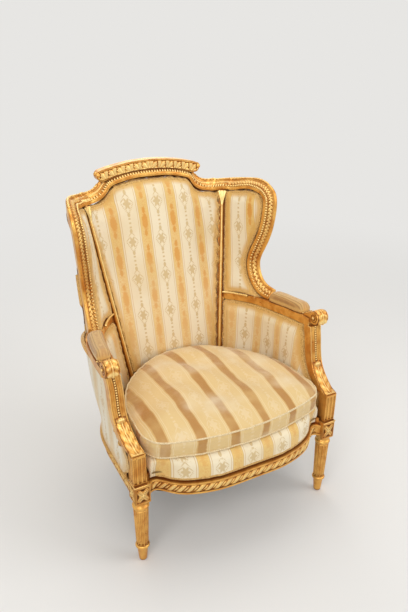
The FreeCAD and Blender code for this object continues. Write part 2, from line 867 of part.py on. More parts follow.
def rail_half_width(y):
    if y < side_straight_end:
        return side_x
    drop = min(y - side_straight_end, side_curve_radius * math.sin(turn))
    return side_centre.x + math.sqrt(side_curve_radius ** 2 - drop ** 2)


def bow_at(x):
    share = 1.0 - (x / (leg_half_spacing - die_size / 2)) ** 2
    return -front_bow * share


def seat_webbing():
    # Crosswise straps lie on the rails, lengthwise straps lie on them
    straps = []
    ledge = 14.0
    for index in range(5):
        y = 30.0 + index * 80.0
        half = rail_half_width(y + web_width) - side_rebate - ledge
        if index == 0:
            half = leg_half_spacing - die_size / 2 - 2.0
        straps.append(Part.makeBox(2 * half, web_width, web_thickness, V(-half, y, rail_top)))
    for x in (-205, -120, -60, 0, 60, 120, 205):
        edge = abs(x) + web_width / 2
        start = bow_at(edge) + front_rebate + ledge
        reach = back_radius - side_rebate - ledge
        end = back_centre.y + math.sqrt(reach ** 2 - edge ** 2)
        if abs(x) > rear_die.x:
            reach = side_curve_radius - side_rebate - ledge
            end = side_straight_end + math.sqrt(reach ** 2 - (edge - side_centre.x) ** 2)
        corner = V(x - web_width / 2, start, rail_top + web_thickness)
        straps.append(Part.makeBox(web_width, end - start, web_thickness, corner))
    return Part.makeCompound(straps)


def seat_hessian():
    low = rail_top + 2 * web_thickness
    return prism(seat_wire(60.0, front_bow - 50.0, 0.0, 4.0, low), V(0, 0, 1.0))


def seat_platform():
    low = rail_top + 2 * web_thickness + 1.0 + fit_gap
    inset = platform_inset
    bow = front_bow
    levels = ((inset + 1.0, bow, 1.0, 3.0, low), (inset, bow, 0.85, 1.0, low + 18.0),
              (inset + 2.0, bow - 10.0, 0.6, -2.0, platform_top - 11.0),
              (inset + 6.0, bow - 23.0, 0.4, -4.0, platform_top - 3.0),
              (inset + 13.0, bow - 33.0, 0.3, -4.0, platform_top))
    return Part.makeLoft([seat_wire(*level) for level in levels], True, False)


def seat_front_roll():
    # Stuffed strip in the rebate of the front rail, under the front of the platform
    low = rail_moulding_top + fit_gap
    high = rail_top + 2 * web_thickness - fit_gap
    outer = [point + V(0, 2.0, 0) for point in bow_points(front_bow, low)]
    inner = [point + V(0, front_rebate - fit_gap, 0) for point in bow_points(front_bow, low)]
    plan = Part.Wire([spline(outer), line(outer[-1], inner[-1]), spline(inner[::-1]), line(inner[0], outer[0])])
    half = leg_half_spacing - die_size / 2 - 2.0
    room = Part.makeBox(2 * half, 200.0, high - low, V(-half, -150.0, low))
    return biggest(prism(plan, V(0, 0, high - low)).common(room))


def bottom_cloth():
    sheet = prism(seat_wire(14.0, front_bow - 22.0, 1.0, 16.0, rail_bottom - 1.0), V(0, 0, 1.0))
    room = die_size + 1.0
    for side in (-1, 1):
        corner = V(side * leg_half_spacing - room / 2, -room / 2, rail_bottom - 20)
        sheet = sheet.cut(Part.makeBox(room, room, 40, corner))
    rear = rotated_box(rear_die, rail_bottom - 20, rail_bottom + 20, room)
    return sheet.cut(rear).cut(mirrored(rear))


# Seat cushion: a boxed horseshoe with a crowned top
cushion_half = ((0, -70), (90, -65), (170, -51), (235, -33), (282, -8), (301, 32), (302, 92), (297, 160),
                (276, 240), (240, 310), (196, 362), (140, 408), (72, 444), (0, 455))


def cushion_points(inset, z):
    front = cushion_half[0][1]
    rear = cushion_half[-1][1]
    middle = (front + rear) / 2
    widest = max(x for x, y in cushion_half)
    right = []
    for x, y in cushion_half:
        across = x / widest * (side_x - cushion_inset - inset)
        right.append(V(across, middle + (y - middle) * (1 - inset * 2 / (rear - front)), z))
    left = [V(-point.x, point.y, z) for point in right[-2:0:-1]]
    return right + left


def cushion_ring(inset, z):
    curve = Part.BSplineCurve()
    curve.interpolate(Points=cushion_points(inset, z), PeriodicFlag=True)
    return Part.Wire([curve.toShape()])


def cushion_body(skin):
    low = cushion_bottom + skin
    crown = cushion_crown - skin
    levels = ((16.0 + skin, low), (4.0 + skin, low + 5.0), (0.0 + skin, low + 24.0),
              (2.0 + skin, cushion_seam - 5.0), (6.0 + skin, cushion_seam),
              (26.0 + skin, cushion_seam + crown * 0.40), (70.0 + skin, cushion_seam + crown * 0.72),
              (140.0 + skin, cushion_seam + crown * 0.93), (205.0 + skin, cushion_seam + crown))
    return stacked(cushion_ring, levels)


def cushion_parts():
    hollow = cushion_body(0.0).cut(cushion_body(cushion_skin))
    lower_seam = cushion_bottom + 6.0
    room = 800.0

    def between(low, high):
        return Part.makeBox(room, room, high - low, V(-room / 2, -room / 4, low))

    nodes["cushion_bottom_panel"] = hollow.common(between(cushion_bottom - 50, lower_seam))
    nodes["cushion_border"] = hollow.common(between(lower_seam, cushion_seam))
    nodes["cushion_top_panel"] = hollow.common(between(cushion_seam, cushion_seam + 80))
    nodes["cushion_filling"] = cushion_body(cushion_skin + fit_gap)


# Corner blocks with their screws, pegs in the joints, and the low cross rail of the back
def corner_block():
    inner = leg_half_spacing - die_size / 2
    half = die_size / 2
    rear = front_rail_depth - front_bow
    bow = half - rear
    radius = (inner ** 2 + bow ** 2) / (2 * bow)
    touch = inner - 52.0
    touch_y = rear + radius - math.sqrt(radius ** 2 - touch ** 2)
    side = side_x - rail_thickness
    corners = [V(side, half + 60, 0), V(side, half, 0), V(inner, half, 0), V(touch, touch_y + fit_gap, 0)]
    low = rail_bottom + 6.0
    return prism(polygon([corner + V(0, 0, low) for corner in corners]), V(0, 0, rail_top - 8.0 - low))


peg_step = 8.0
tenon_middle = rail_bottom + (rail_moulding_top - rail_bottom) / 2 + 4.0


def pegs(radius):
    # A peg through each tenon, driven from the inside of the frame
    half = die_size / 2
    into = tenon_length / 2
    upper = V(0, 0, tenon_middle + peg_step)
    lower = V(0, 0, tenon_middle - peg_step)
    places = (
        (V(leg_half_spacing - half + into, half, 0) + upper, V(leg_half_spacing - half + into, -8, 0) + upper),
        (V(leg_half_spacing - half, half - into, 0) + lower, V(side_shoulder.x + 10, half - into, 0) + lower),
        (rear_die - heading * (half - into) - outward * half + upper,
         rear_die - heading * (half - into) + outward * (half - 5) + upper),
        (rear_die + heading * (half - into) - outward * half + lower,
         rear_die + heading * (half - into) + outward * (half - 5) + lower))
    right = [rod(start, end, radius) for start, end in places]
    return right + [mirrored(peg) for peg in right]


def screws(radius):
    # Two screws through each corner block, one into the front rail and one into the side rail
    middle = (rail_bottom + rail_top) / 2
    side = side_x - rail_thickness
    near = V(side - 27.0, die_size / 2 + 27.0, middle + 6)
    front = V(leg_half_spacing - die_size / 2 - 37.0, 24.0, middle - 6)
    right = [rod(near, near + V(42.0, 0, 0), radius), rod(front, front - V(0, 23.0, 0), radius)]
    return right + [mirrored(screw) for screw in right]


def bored(name, tools):
    nodes[name] = nodes[name].cut(tools)


def joinery():
    nodes["joint_pegs"] = Part.makeCompound(pegs(peg_radius))
    holes = pegs(peg_radius + tenon_clearance)
    for name in ("front_leg_left", "front_leg_right", "rear_leg_left", "rear_leg_right",
                 "front_rail", "side_rail_left", "side_rail_right", "back_rail"):
        bored(name, holes)
    nodes["corner_screws"] = Part.makeCompound(screws(screw_radius))
    holes = screws(screw_radius + tenon_clearance)
    for name in ("corner_block_left", "corner_block_right", "front_rail", "side_rail_left", "side_rail_right"):
        bored(name, holes)


def cross_rail():
    rail = back_strip(22.0, 20.0, platform_top - 35.0, platform_top + 1.0, 57.0)
    rail = rail.cut([nodes["rear_leg_right"], nodes["rear_leg_left"]])
    return biggest(rail)


def build():
    pair("front_leg", front_leg())
    pair("rear_leg", rear_leg())
    nodes["front_rail"] = front_rail()
    pair("side_rail", side_rail())
    nodes["back_rail"] = back_rail()
    nodes["crest_rail"] = crest_rail()
    pair("wing_frame", wing_frame())
    pair("arm_rail", arm_rail())
    pair("arm_support", arm_support())
    pair("corner_block", corner_block())
    nodes["seat_webbing"] = seat_webbing()
    nodes["seat_hessian"] = seat_hessian()
    nodes["seat_platform"] = seat_platform()
    nodes["seat_front_roll"] = seat_front_roll()
    nodes["bottom_cloth"] = bottom_cloth()
    nodes["inside_back_pad"] = slab(back_front, back_rear)
    nodes["back_webbing"] = back_webs()
    nodes["outside_back_panel"] = outside_back()
    pair("inside_wing_pad", wing_pad())
    pair("outside_wing_panel", outside_wing())
    pair("inside_arm_pad", arm_pad_inside())
    pair("outside_arm_panel", arm_panel_outside())
    pair("arm_pad", manchette())
    nodes["back_cross_rail"] = cross_rail()
    cushion_parts()
    joinery()


build()
whole = Part.makeCompound(list(nodes.values()))
box = whole.optimalBoundingBox(False, False)
shift = V(0, -round((box.YMin + box.YMax) / 2, 1), 0)
print("box", round(box.XLength, 1), round(box.YLength, 1), round(box.ZLength, 1), "shift", shift.y)
os.makedirs("parts", exist_ok=True)
for name, shape in nodes.items():
    placed = shape.copy()
    placed.translate(shift)
    placed.exportStep("parts/" + name + ".step")
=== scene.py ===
import bpy
import bmesh
import math
import numpy as np
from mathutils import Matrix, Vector
from mathutils.bvhtree import BVHTree
from mathutils.kdtree import KDTree


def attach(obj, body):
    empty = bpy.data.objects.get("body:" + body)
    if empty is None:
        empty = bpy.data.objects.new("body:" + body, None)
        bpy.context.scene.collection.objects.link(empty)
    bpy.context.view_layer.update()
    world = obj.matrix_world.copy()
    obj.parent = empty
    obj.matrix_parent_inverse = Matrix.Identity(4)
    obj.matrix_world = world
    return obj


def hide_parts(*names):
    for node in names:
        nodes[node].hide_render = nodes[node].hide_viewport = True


# A gilded wing bergere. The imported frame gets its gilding, carving, silk covers and cushion here.
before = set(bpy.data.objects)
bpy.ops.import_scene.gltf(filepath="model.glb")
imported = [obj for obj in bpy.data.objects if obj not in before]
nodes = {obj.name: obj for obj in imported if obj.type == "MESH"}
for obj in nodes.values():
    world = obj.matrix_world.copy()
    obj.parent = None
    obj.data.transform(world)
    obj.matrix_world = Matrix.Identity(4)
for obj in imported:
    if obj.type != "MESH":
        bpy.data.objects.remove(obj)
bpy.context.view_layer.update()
scene = bpy.context.scene
legLine = -0.2893  # y of the front legs' centre line
chair = "chair_frame"
loose = "seat_cushion"
hands = (("Right", 1), ("Left", -1))


# Small tools for meshes

def paint(red, green, blue):  # a colour as it looks on a paint card, for a shader
    return tuple((c / 255) ** 2.2 for c in (red, green, blue)) + (1.0,)


def placed(name, data):
    thing = bpy.data.objects.new(name, data)
    scene.collection.objects.link(thing)
    return thing


def newPiece(name, points, faces, material, body=chair):
    mesh = bpy.data.meshes.new(name)
    mesh.from_pydata([tuple(p) for p in points], [], [tuple(int(i) for i in f) for f in faces])
    mesh.materials.append(material)
    mesh.update()
    piece = placed(name, mesh)
    mesh.polygons.foreach_set("use_smooth", [True] * len(mesh.polygons))
    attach(piece, body)
    return piece


def gridFaces(rows, columns, closed=False):
    faces = []
    for row in range(rows - 1):
        for column in range(columns if closed else columns - 1):
            here = row * columns + column
            beside = row * columns + (column + 1) % columns
            faces.append((here, beside, beside + columns, here + columns))
    return faces


def joined(names, tuck=0.0, tuckLine=0.300):  # CAD nodes as one; past the first, what is above the line reaches up
    points = []
    faces = []
    for name in names:
        mesh = nodes[name].data
        first = len(points)
        lift = tuck if first else 0.0
        points += [(v.co.x, v.co.y, v.co.z + (lift if v.co.z > tuckLine else 0.0)) for v in mesh.vertices]
        faces += [tuple(first + i for i in p.vertices) for p in mesh.polygons]
    return points, faces


def surfaceOf(*names):  # a search tree over the faces of some CAD nodes
    return BVHTree.FromPolygons(*joined(names))


def treeOf(mesh):
    return BVHTree.FromPolygons([v.co for v in mesh.vertices], [tuple(p.vertices) for p in mesh.polygons])


def runOf(line):  # how far along the line each of its points lies
    return np.concatenate(([0], np.cumsum(np.linalg.norm(np.diff(line, axis=0), axis=1))))


def unit(vectors):
    return vectors / np.linalg.norm(vectors, axis=-1, keepdims=True)


def bell(value, middle, width):
    return np.exp(-((value - middle) / width) ** 2)


def smoothLine(points, count):  # evenly spaced points on a curve through the given ones
    points = np.array(points, float)
    lengths = runOf(points[:, :3])
    slopes = np.gradient(points, lengths, axis=0)
    places = np.linspace(0, lengths[-1], count * 4)
    index = np.clip(np.searchsorted(lengths, places) - 1, 0, len(lengths) - 2)
    span = (lengths[index + 1] - lengths[index])[:, None]
    t = ((places - lengths[index])[:, None]) / span
    line = ((2 * t ** 3 - 3 * t ** 2 + 1) * points[index] + (t ** 3 - 2 * t ** 2 + t) * span * slopes[index]
            + (3 * t ** 2 - 2 * t ** 3) * points[index + 1] + (t ** 3 - t ** 2) * span * slopes[index + 1])
    run = runOf(line[:, :3])
    even = np.linspace(0, run[-1], count)
    return np.stack([np.interp(even, run, line[:, k]) for k in range(line.shape[1])], axis=1)


# Camera, floor and light

camera = {"place": (-0.774, -1.5111, 1.428), "turn": 27.97, "down": 24.73, "roll": 0.47, "lens": 34.58, "film": 36}
light = {
    "sky": 0.60, "aim": 0.5, "backdrop": (0.80, 0.79, 0.77, 1), "floor": (0.80, 0.79, 0.77, 1),
    "floorEnds": (0.9, 3.4),
    "lamps": (  # place, size, watts
        ((-2.2, -2.6, 2.9), 2.4, 62),
        ((2.6, -2.2, 2.4), 2.2, 38),
        ((0.2, 0.4, 3.6), 2.6, 34),
        ((0.6, 3.2, 2.2), 2.4, 22)),
}


def addNode(tree, kind, **settings):
    node = tree.nodes.new("ShaderNode" + kind)
    for socket, value in settings.items():
        node.inputs[socket.replace("_", " ")].default_value = value
    return node


class Strand:  # one value in a node tree, so that a pattern reads like a sum
    def __init__(self, tree, socket):
        self.tree = tree
        self.socket = socket

    def do(self, operation, *others):
        node = addNode(self.tree, "Math")
        node.operation = operation
        for place, value in enumerate((self,) + others):
            if isinstance(value, Strand):
                self.tree.links.new(value.socket, node.inputs[place])
            else:
                node.inputs[place].default_value = value
        return Strand(self.tree, node.outputs[0])

    def fade(self, low, high):  # 0 at low, 1 at high, smooth between
        node = addNode(self.tree, "MapRange", From_Min=low, From_Max=high)
        node.interpolation_type = "SMOOTHSTEP"
        self.tree.links.new(self.socket, node.inputs["Value"])
        return Strand(self.tree, node.outputs["Result"])


for word, operation in (
        ("__add__", "ADD"), ("__sub__", "SUBTRACT"), ("__mul__", "MULTIPLY"), ("__truediv__", "DIVIDE"), ("root", "SQRT"),
        ("abs", "ABSOLUTE"), ("sin", "SINE"), ("cos", "COSINE"), ("frac", "FRACT"), ("least", "MINIMUM"),
        ("most", "MAXIMUM"), ("angle", "ARCTAN2")):
    setattr(Strand, word, lambda self, *others, operation=operation: self.do(operation, *others))


def newMaterial(name, **settings):
    material = bpy.data.materials.new(name)
    material.use_nodes = True
    tree = material.node_tree
    shader = tree.nodes["Principled BSDF"]
    for socket, value in settings.items():
        shader.inputs[socket.replace("_", " ")].default_value = value
    return material, tree, shader


def placeIn(tree):  # position in metres
    return addNode(tree, "TexCoord").outputs["Object"]


def seenRays(tree):  # 1 for what the camera, metal or glass sees
    path = addNode(tree, "LightPath")
    seen = Strand(tree, path.outputs["Is Camera Ray"])
    for name in ("Is Glossy Ray", "Is Transmission Ray"):
        seen = seen.most(Strand(tree, path.outputs[name]))
    return seen


def setStage():
    eye = placed("photoCamera", bpy.data.cameras.new("photoCamera"))
    eye.data.lens = camera["lens"]
    eye.data.sensor_width = camera["film"]
    eye.data.clip_start = 0.05
    turn, down = math.radians(camera["turn"]), math.radians(camera["down"])
    ahead = Vector((math.sin(turn) * math.cos(down), math.cos(turn) * math.cos(down), -math.sin(down)))
    eye.matrix_world = ahead.to_track_quat("-Z", "Y").to_matrix().to_4x4()
    eye.rotation_euler.rotate_axis("Z", math.radians(camera["roll"]))
    eye.location = camera["place"]
    scene.camera = eye
    for index, (place, size, watts) in enumerate(light["lamps"]):
        lamp = bpy.data.lights.new("softLamp%d" % index, "AREA")
        lamp.energy = watts
        lamp.size = size
        lampObject = placed(lamp.name, lamp)
        lampObject.location = place
        lampObject.rotation_euler = (Vector((0, 0, light["aim"])) - Vector(place)).to_track_quat("-Z", "Y").to_euler()
    sky = bpy.data.worlds.new("studio")
    scene.world = sky
    sky.use_nodes = True
    tree = sky.node_tree
    back = tree.nodes["Background"]
    back.inputs["Color"].default_value = light["backdrop"]
    seen = seenRays(tree)
    level = seen * (1.0 - light["sky"]) + light["sky"]
    tree.links.new(level.socket, back.inputs["Strength"])
    floor = bpy.data.meshes.new("floor")
    floor.from_pydata([(-30, -30, 0), (30, -30, 0), (30, 30, 0), (-30, 30, 0)], [], [(0, 1, 2, 3)])
    floorMaterial, tree, shader = newMaterial("paleFloor", Base_Color=light["floor"], Roughness=0.85,
                                              Specular_IOR_Level=0.2)
    far = addNode(tree, "VectorMath")
    far.operation = "LENGTH"
    tree.links.new(placeIn(tree), far.inputs[0])
    fade = Strand(tree, far.outputs["Value"]).fade(*light["floorEnds"]) * seenRays(tree)
    glow = addNode(tree, "Emission", Color=light["backdrop"])
    mix = addNode(tree, "MixShader")
    tree.links.new(fade.socket, mix.inputs[0])
    tree.links.new(shader.outputs[0], mix.inputs[1])
    tree.links.new(glow.outputs[0], mix.inputs[2])
    tree.links.new(mix.outputs[0], tree.nodes["Material Output"].inputs["Surface"])
    floor.materials.append(floorMaterial)
    floorObject = placed("floor", floor)
    scene.view_settings.view_transform = "Standard"


setStage()
print("stage set")


# Materials

def splitUp(tree, vector):  # its three parts
    node = addNode(tree, "SeparateXYZ")
    tree.links.new(vector, node.inputs[0])
    return [Strand(tree, socket) for socket in node.outputs]


def noise(tree, where, scale, detail, stretch=None):
    if stretch:
        shape = addNode(tree, "Mapping", Scale=stretch)
        tree.links.new(where, shape.inputs["Vector"])
        where = shape.outputs["Vector"]
    node = addNode(tree, "TexNoise", Scale=scale, Detail=detail)
    tree.links.new(where, node.inputs["Vector"])
    return Strand(tree, node.outputs["Fac"])


def blend(tree, amount, under, over):
    node = addNode(tree, "Mix")
    node.data_type = "RGBA"
    tree.links.new(amount.socket, node.inputs["Factor"])
    for socket, value in ((node.inputs[6], under), (node.inputs[7], over)):
        if isinstance(value, tuple):
            socket.default_value = value
        else:
            tree.links.new(value, socket)
    return node.outputs[2]


def bump(tree, shader, height, distance, strength):
    node = addNode(tree, "Bump", Distance=distance, Strength=strength)
    tree.links.new(height.socket, node.inputs["Height"])
    tree.links.new(node.outputs["Normal"], shader.inputs["Normal"])


def hollows(tree, reach):  # 1 in the open, less in recesses: an ambient occlusion mask used for painted shade
    node = addNode(tree, "AmbientOcclusion", Distance=reach)
    node.samples = 8
    return Strand(tree, node.outputs["AO"])


def attribute(tree, name, output):
    node = addNode(tree, "Attribute")
    node.attribute_name = name
    return node.outputs[output]


gildLook = {
    "leaf": paint(236, 180, 92), "deepLeaf": paint(208, 140, 60), "recessShadeBrown": paint(126, 66, 22),
    "bole": paint(168, 84, 38), "highlightGold": paint(255, 224, 148), "reach": 0.012,
}


def gilding(name, paintedHighlight=0.0, carved=False):
    material, tree, shader = newMaterial(name, Metallic=0.70, Coat_Weight=0.12, Coat_Roughness=0.35)
    where = placeIn(tree)
    cloud = noise(tree, where, 26, 4)
    colour = blend(tree, cloud.fade(0.38, 0.66), gildLook["leaf"], gildLook["deepLeaf"])
    # painted highlight: a lighter copy of the gilding, blended towards a pale highlight gold
    if paintedHighlight:
        colour = blend(tree, cloud.fade(-0.3, 0.6) * paintedHighlight, colour, gildLook["highlightGold"])
    rub = noise(tree, where, 120, 6).fade(0.60, 0.72) * noise(tree, where, 18, 2).fade(0.42, 0.6)
    colour = blend(tree, rub * 0.7, colour, gildLook["bole"])
    # painted shade: the gilding's recesses are darkened towards brown by ambient occlusion
    paintedRecessShade = hollows(tree, gildLook["reach"]).fade(0.93, 0.45)
    # painted highlight on the carving's raised tops and painted shade in its low parts, from the rise attribute
    if carved:
        high = Strand(tree, attribute(tree, "rise", "Fac"))
        colour = blend(tree, high.fade(0.45, 0.95) * 0.75, colour, gildLook["highlightGold"])
        paintedRecessShade = paintedRecessShade.most(high.fade(0.50, 0.05))
    colour = blend(tree, paintedRecessShade * 0.85, colour, gildLook["recessShadeBrown"])
    tree.links.new(colour, shader.inputs["Base Color"])
    rough = noise(tree, where, 60, 3) * 0.22 + 0.27 + paintedRecessShade * 0.25
    tree.links.new(rough.socket, shader.inputs["Roughness"])
    grain = noise(tree, where, 420, 4) * 0.35 + noise(tree, where, 90, 3)
    bump(tree, shader, grain, 0.0009, 0.55)
    return material


silkLook = {
    "cream": paint(243, 228, 196), "ochre": paint(235, 196, 118), "motif": paint(222, 150, 56),
    "flower": paint(212, 182, 126), "line": paint(206, 162, 92), "repeat": 0.103, "creamHalf": 0.0280,
    "phase": 0.5, "darkFlower": 0.9, "flowerShade": 0.80, "paintedLightPaling": 0.55, "worn": paint(222, 190, 128),
    "edge": paint(222, 174, 92), "edgeWidth": 0.030, "edgeShade": 0.85, "wander": 0.004, "age": 0.28,
    "step": 0.126, "wholeBand": False,
}
cushionLook = dict(silkLook, cream=paint(226, 194, 134), ochre=paint(218, 180, 114), motif=paint(178, 124, 58),
                   flower=paint(236, 212, 170), line=paint(236, 212, 166), wholeBand=True, wander=0.022,
                   worn=paint(240, 224, 192), age=0.75, flowerShade=0.45, edgeShade=0.0)
padLook = dict(silkLook, cream=paint(210, 170, 108), ochre=paint(192, 146, 86), motif=paint(150, 102, 54),
               flower=paint(194, 146, 90), line=paint(160, 114, 66), repeat=0.046, creamHalf=0.012, paintedLightPaling=0.0,
               worn=paint(188, 142, 90), edge=paint(226, 184, 110), edgeWidth=0.018, edgeShade=0.9)
seatLook = dict(silkLook, paintedLightPaling=0.0, edgeShade=0.0)
backLook = dict(silkLook, cream=paint(238, 226, 200), ochre=paint(230, 202, 150), motif=paint(218, 178, 116),
                edgeShade=0.5)


def silk(name, look):
    material, tree, shader = newMaterial(name, Roughness=0.58, Sheen_Weight=0.28, Sheen_Roughness=0.45)
    across, along, rim = splitUp(tree, attribute(tree, "cloth", "Vector"))
    where = placeIn(tree)
    wander = (noise(tree, where, 9, 2) - 0.5) * look["wander"]
    repeat = look["repeat"]
    x = ((across + wander) / repeat + look["phase"]).frac() * repeat - repeat / 2
    far = x.abs()
    half = look["creamHalf"]
    cream = far.fade(half + 0.0006, half - 0.0006)
    lines = (far - (half + 0.0006)).abs().fade(0.0014, 0.0005)
    lines = lines.most((far - (half + 0.0062)).abs().fade(0.0012, 0.0004))
    colour = blend(tree, far.fade(half + 0.0066, half + 0.0058), look["ochre"], look["cream"])
    colour = blend(tree, lines * 0.7, colour, look["line"])
    step = look["step"]  # from one medallion to the next
    y = (along / step).frac() * step - step / 2
    reach = (x * x + y * y * 0.42).root()
    turn = x.angle(y * 0.65)
    frayed = noise(tree, where, 300, 2) * 0.5 - 0.25
    flower = (reach + (turn * 6).cos() * 0.0026 + frayed * 0.006 - 0.0098).fade(0.0016, -0.0008)
    ogee = ((far / 0.0190) + (y.abs() / 0.034) - 1.0 + frayed * 0.3).abs().fade(0.20, 0.09)
    ogee = ogee * ((y + far) * (2 * math.pi / 0.0078)).cos().fade(-0.4, 0.3)
    tip = y.abs() - 0.036
    tips = ((tip * tip * 0.4 + x * x).root() - 0.0044).fade(0.001, 0.0)
    dots = (y.abs() - 0.053).abs().fade(0.011, 0.010) * (along * (2 * math.pi / 0.0140)).cos().fade(0.0, 0.5)
    dots = dots * far.fade(0.0044, 0.0030)
    medallion = flower.most(ogee).most(tips).most(dots) * far.fade(half - 0.004, half - 0.006)
    colour = blend(tree, medallion * look["flowerShade"], colour, look["flower"])
    bandX = far * -1.0 + repeat / 2  # from the middle of the ochre band
    tulip = (along / step + 0.5).frac() * step - step / 2
    ochreHalf = repeat / 2 - half - 0.009
    if look["wholeBand"]:
        narrow = noise(tree, where, 7, 2) * 0.009 - 0.0045
        shape = (bandX + narrow).fade(ochreHalf + 0.0005, ochreHalf - 0.003)
        motif = shape * (noise(tree, where, 13, 3).fade(0.25, 0.6) * 0.5 + 0.5) * look["darkFlower"]
    else:
        cup = (bandX * bandX + tulip * tulip * 0.13).root() - 0.0100
        past = tulip.abs() - 0.038
        bud = (bandX * bandX * 1.3 + past * past * 0.3).root() - 0.0066
        ragged = noise(tree, where, 210, 2) * 0.009 - 0.0045
        shape = (cup.least(bud) + ragged).fade(0.0022, -0.0022) * bandX.fade(ochreHalf + 0.001, ochreHalf - 0.001)
        speck = noise(tree, where, 260, 2).fade(0.48, 0.60) * bandX.fade(ochreHalf, ochreHalf - 0.003) * 0.40
        # painted light: lower down the ochre stripes pale towards cream and the motif weakens, where light falls more
        # strongly; random pale patches are added too
        high = splitUp(tree, where)[2]
        strength = noise(tree, where, 6, 2).fade(0.30, 0.6) * 0.4 + 0.6
        motif = (shape * strength * (high.fade(0.35, 0.95) * 0.5 + 0.5)).most(speck)
        paintedLightMask = (high.fade(0.90, 0.55) * 0.45 + noise(tree, where, 11, 2).fade(0.45, 0.7) * 0.2) * look["paintedLightPaling"]
        colour = blend(tree, paintedLightMask * (cream * -1.0 + 1.0), colour, look["cream"])
        motif = motif * look["darkFlower"]
    colour = blend(tree, motif, colour, look["motif"])
    age = noise(tree, where, 5, 5)
    colour = blend(tree, age.fade(0.5, 0.72) * look["age"], colour, look["worn"])
    # painted shade: a gold band along the rim stands in for the shading of the pad's sloping edge
    edge = rim.fade(look["edgeWidth"], look["edgeWidth"] * 0.45)
    colour = blend(tree, edge * look["edgeShade"], colour, look["edge"])
    weft = (along * (2 * math.pi / 0.0014)).sin() * 0.5 + (across * (2 * math.pi / 0.0011)).sin() * 0.3
    thread = weft + medallion * 1.2 + motif * 0.8 + lines * 1.5
    tree.links.new(colour, shader.inputs["Base Color"])
    bump(tree, shader, thread, 0.00035, 0.5)
    return material


def plainCloth(name, colour, dark, pitch):  # a coarse weave, for webbing, hessian and the cloth underneath
    material, tree, shader = newMaterial(name, Roughness=0.9)
    where = placeIn(tree)
    x, y, z = splitUp(tree, where)
    weave = (x * (2 * math.pi / pitch)).sin() * ((y + z) * (2 * math.pi / pitch)).sin()
    spots = noise(tree, where, 40, 4)
    tree.links.new(blend(tree, (weave * 0.5 + spots).fade(0.1, 0.9), dark, colour), shader.inputs["Base Color"])
    bump(tree, shader, weave, pitch * 0.3, 0.7)
    return material


def beech(name):
    material, tree, shader = newMaterial(name, Roughness=0.62)
    where = placeIn(tree)
    grain = noise(tree, where, 60, 6, (1, 1, 12))
    colour = blend(tree, grain.fade(0.3, 0.7), paint(196, 156, 108), paint(158, 114, 72))
    tree.links.new(colour, shader.inputs["Base Color"])
    bump(tree, shader, grain, 0.0005, 0.6)
    return material


def braidMaterial(name, pale, dark):  # gimp and piping cord
    material, tree, shader = newMaterial(name, Roughness=0.6, Sheen_Weight=0.25, Sheen_Roughness=0.4)
    where = placeIn(tree)
    strands = noise(tree, where, 380, 3)
    colour = blend(tree, strands.fade(0.35, 0.65), dark, pale)
    # painted shade: the braid's recesses are darkened by ambient occlusion
    paintedRecessShade = hollows(tree, 0.003).fade(0.85, 0.35)
    colour = blend(tree, paintedRecessShade * 0.6, colour, dark)
    tree.links.new(colour, shader.inputs["Base Color"])
    bump(tree, shader, strands, 0.0008, 0.6)
    return material


def steel(name):
    material, tree, shader = newMaterial(name, Metallic=1.0)
    where = placeIn(tree)
    marks = noise(tree, where, 300, 3)
    colour = blend(tree, marks.fade(0.3, 0.7), paint(150, 148, 142), paint(112, 108, 102))
    tree.links.new(colour, shader.inputs["Base Color"])
    tree.links.new((marks * 0.2 + 0.35).socket, shader.inputs["Roughness"])
    return material


# the second and third gilding are lighter copies of the gold with painted highlight
giltWood = gilding("giltWood")
giltHighlit = gilding("giltHighlit", 0.45)
giltWhiteHighlight = gilding("giltWhiteHighlight", 0.95)
giltCarved = gilding("giltCarved", 0.0, True)
stripedSilk = silk("stripedSilk", silkLook)
seatSilk = silk("seatSilk", seatLook)
cushionSilk = silk("cushionSilk", cushionLook)
armPadSilk = silk("armPadSilk", padLook)
outsideSilk = silk("outsideSilk", backLook)
gimp = braidMaterial("gimpBraid", paint(232, 192, 118), paint(186, 136, 66))
pipingCloth = braidMaterial("pipingCloth", paint(238, 218, 176), paint(210, 184, 138))
bareBeech = beech("bareBeech")
jute = plainCloth("juteWebbing", paint(176, 150, 112), paint(120, 96, 66), 0.004)
hessianCloth = plainCloth("hessianCloth", paint(178, 148, 100), paint(126, 98, 60), 0.0022)
blackCloth = plainCloth("bottomCloth", paint(58, 52, 46), paint(30, 27, 24), 0.0016)
screwSteel = steel("screwSteel")
plainParts = {
    "corner_block_left": bareBeech, "corner_block_right": bareBeech, "back_cross_rail": bareBeech,
    "joint_pegs": bareBeech, "corner_screws": screwSteel, "seat_webbing": jute, "back_webbing": jute,
    "seat_hessian": hessianCloth, "bottom_cloth": blackCloth,
}
giltParts = ["front_rail", "back_rail", "crest_rail"]
for name in ("front_leg", "rear_leg", "side_rail", "wing_frame", "arm_rail", "arm_support"):
    giltParts += [name + "_left", name + "_right"]
for name in giltParts:
    plainParts[name] = giltWood
for name, material in plainParts.items():
    nodes[name].data.materials.clear()
    nodes[name].data.materials.append(material)
print("materials made:", len(bpy.data.materials))


# Upholstery: every pad starts from its CAD solid, is inflated as cloth and keeps to its place in the frame

rimSpacing = 0.0025
stuffing = {"pressure": 4.0, "frames": 20, "quality": 4, "ease": 0.04}


def skins(name):  # the faces of a CAD node, each as its point numbers, its faces, its mean normal and its area
    mesh = nodes[name].data
    parent = list(range(len(mesh.vertices)))

    def root(i):
        while parent[i] != i:
            parent[i] = parent[parent[i]]
            i = parent[i]
        return i

    for face in mesh.polygons:
        first = root(face.vertices[0])
        for other in face.vertices[1:]:
            parent[root(other)] = first
    groups = {}
    for face in mesh.polygons:
        groups.setdefault(root(face.vertices[0]), []).append(face)
    result = []
    for faces in groups.values():
        area = sum(face.area for face in faces)
        normal = sum((face.normal * face.area for face in faces), Vector()) / area
        result.append({"faces": faces, "normal": normal, "area": area})
    return result


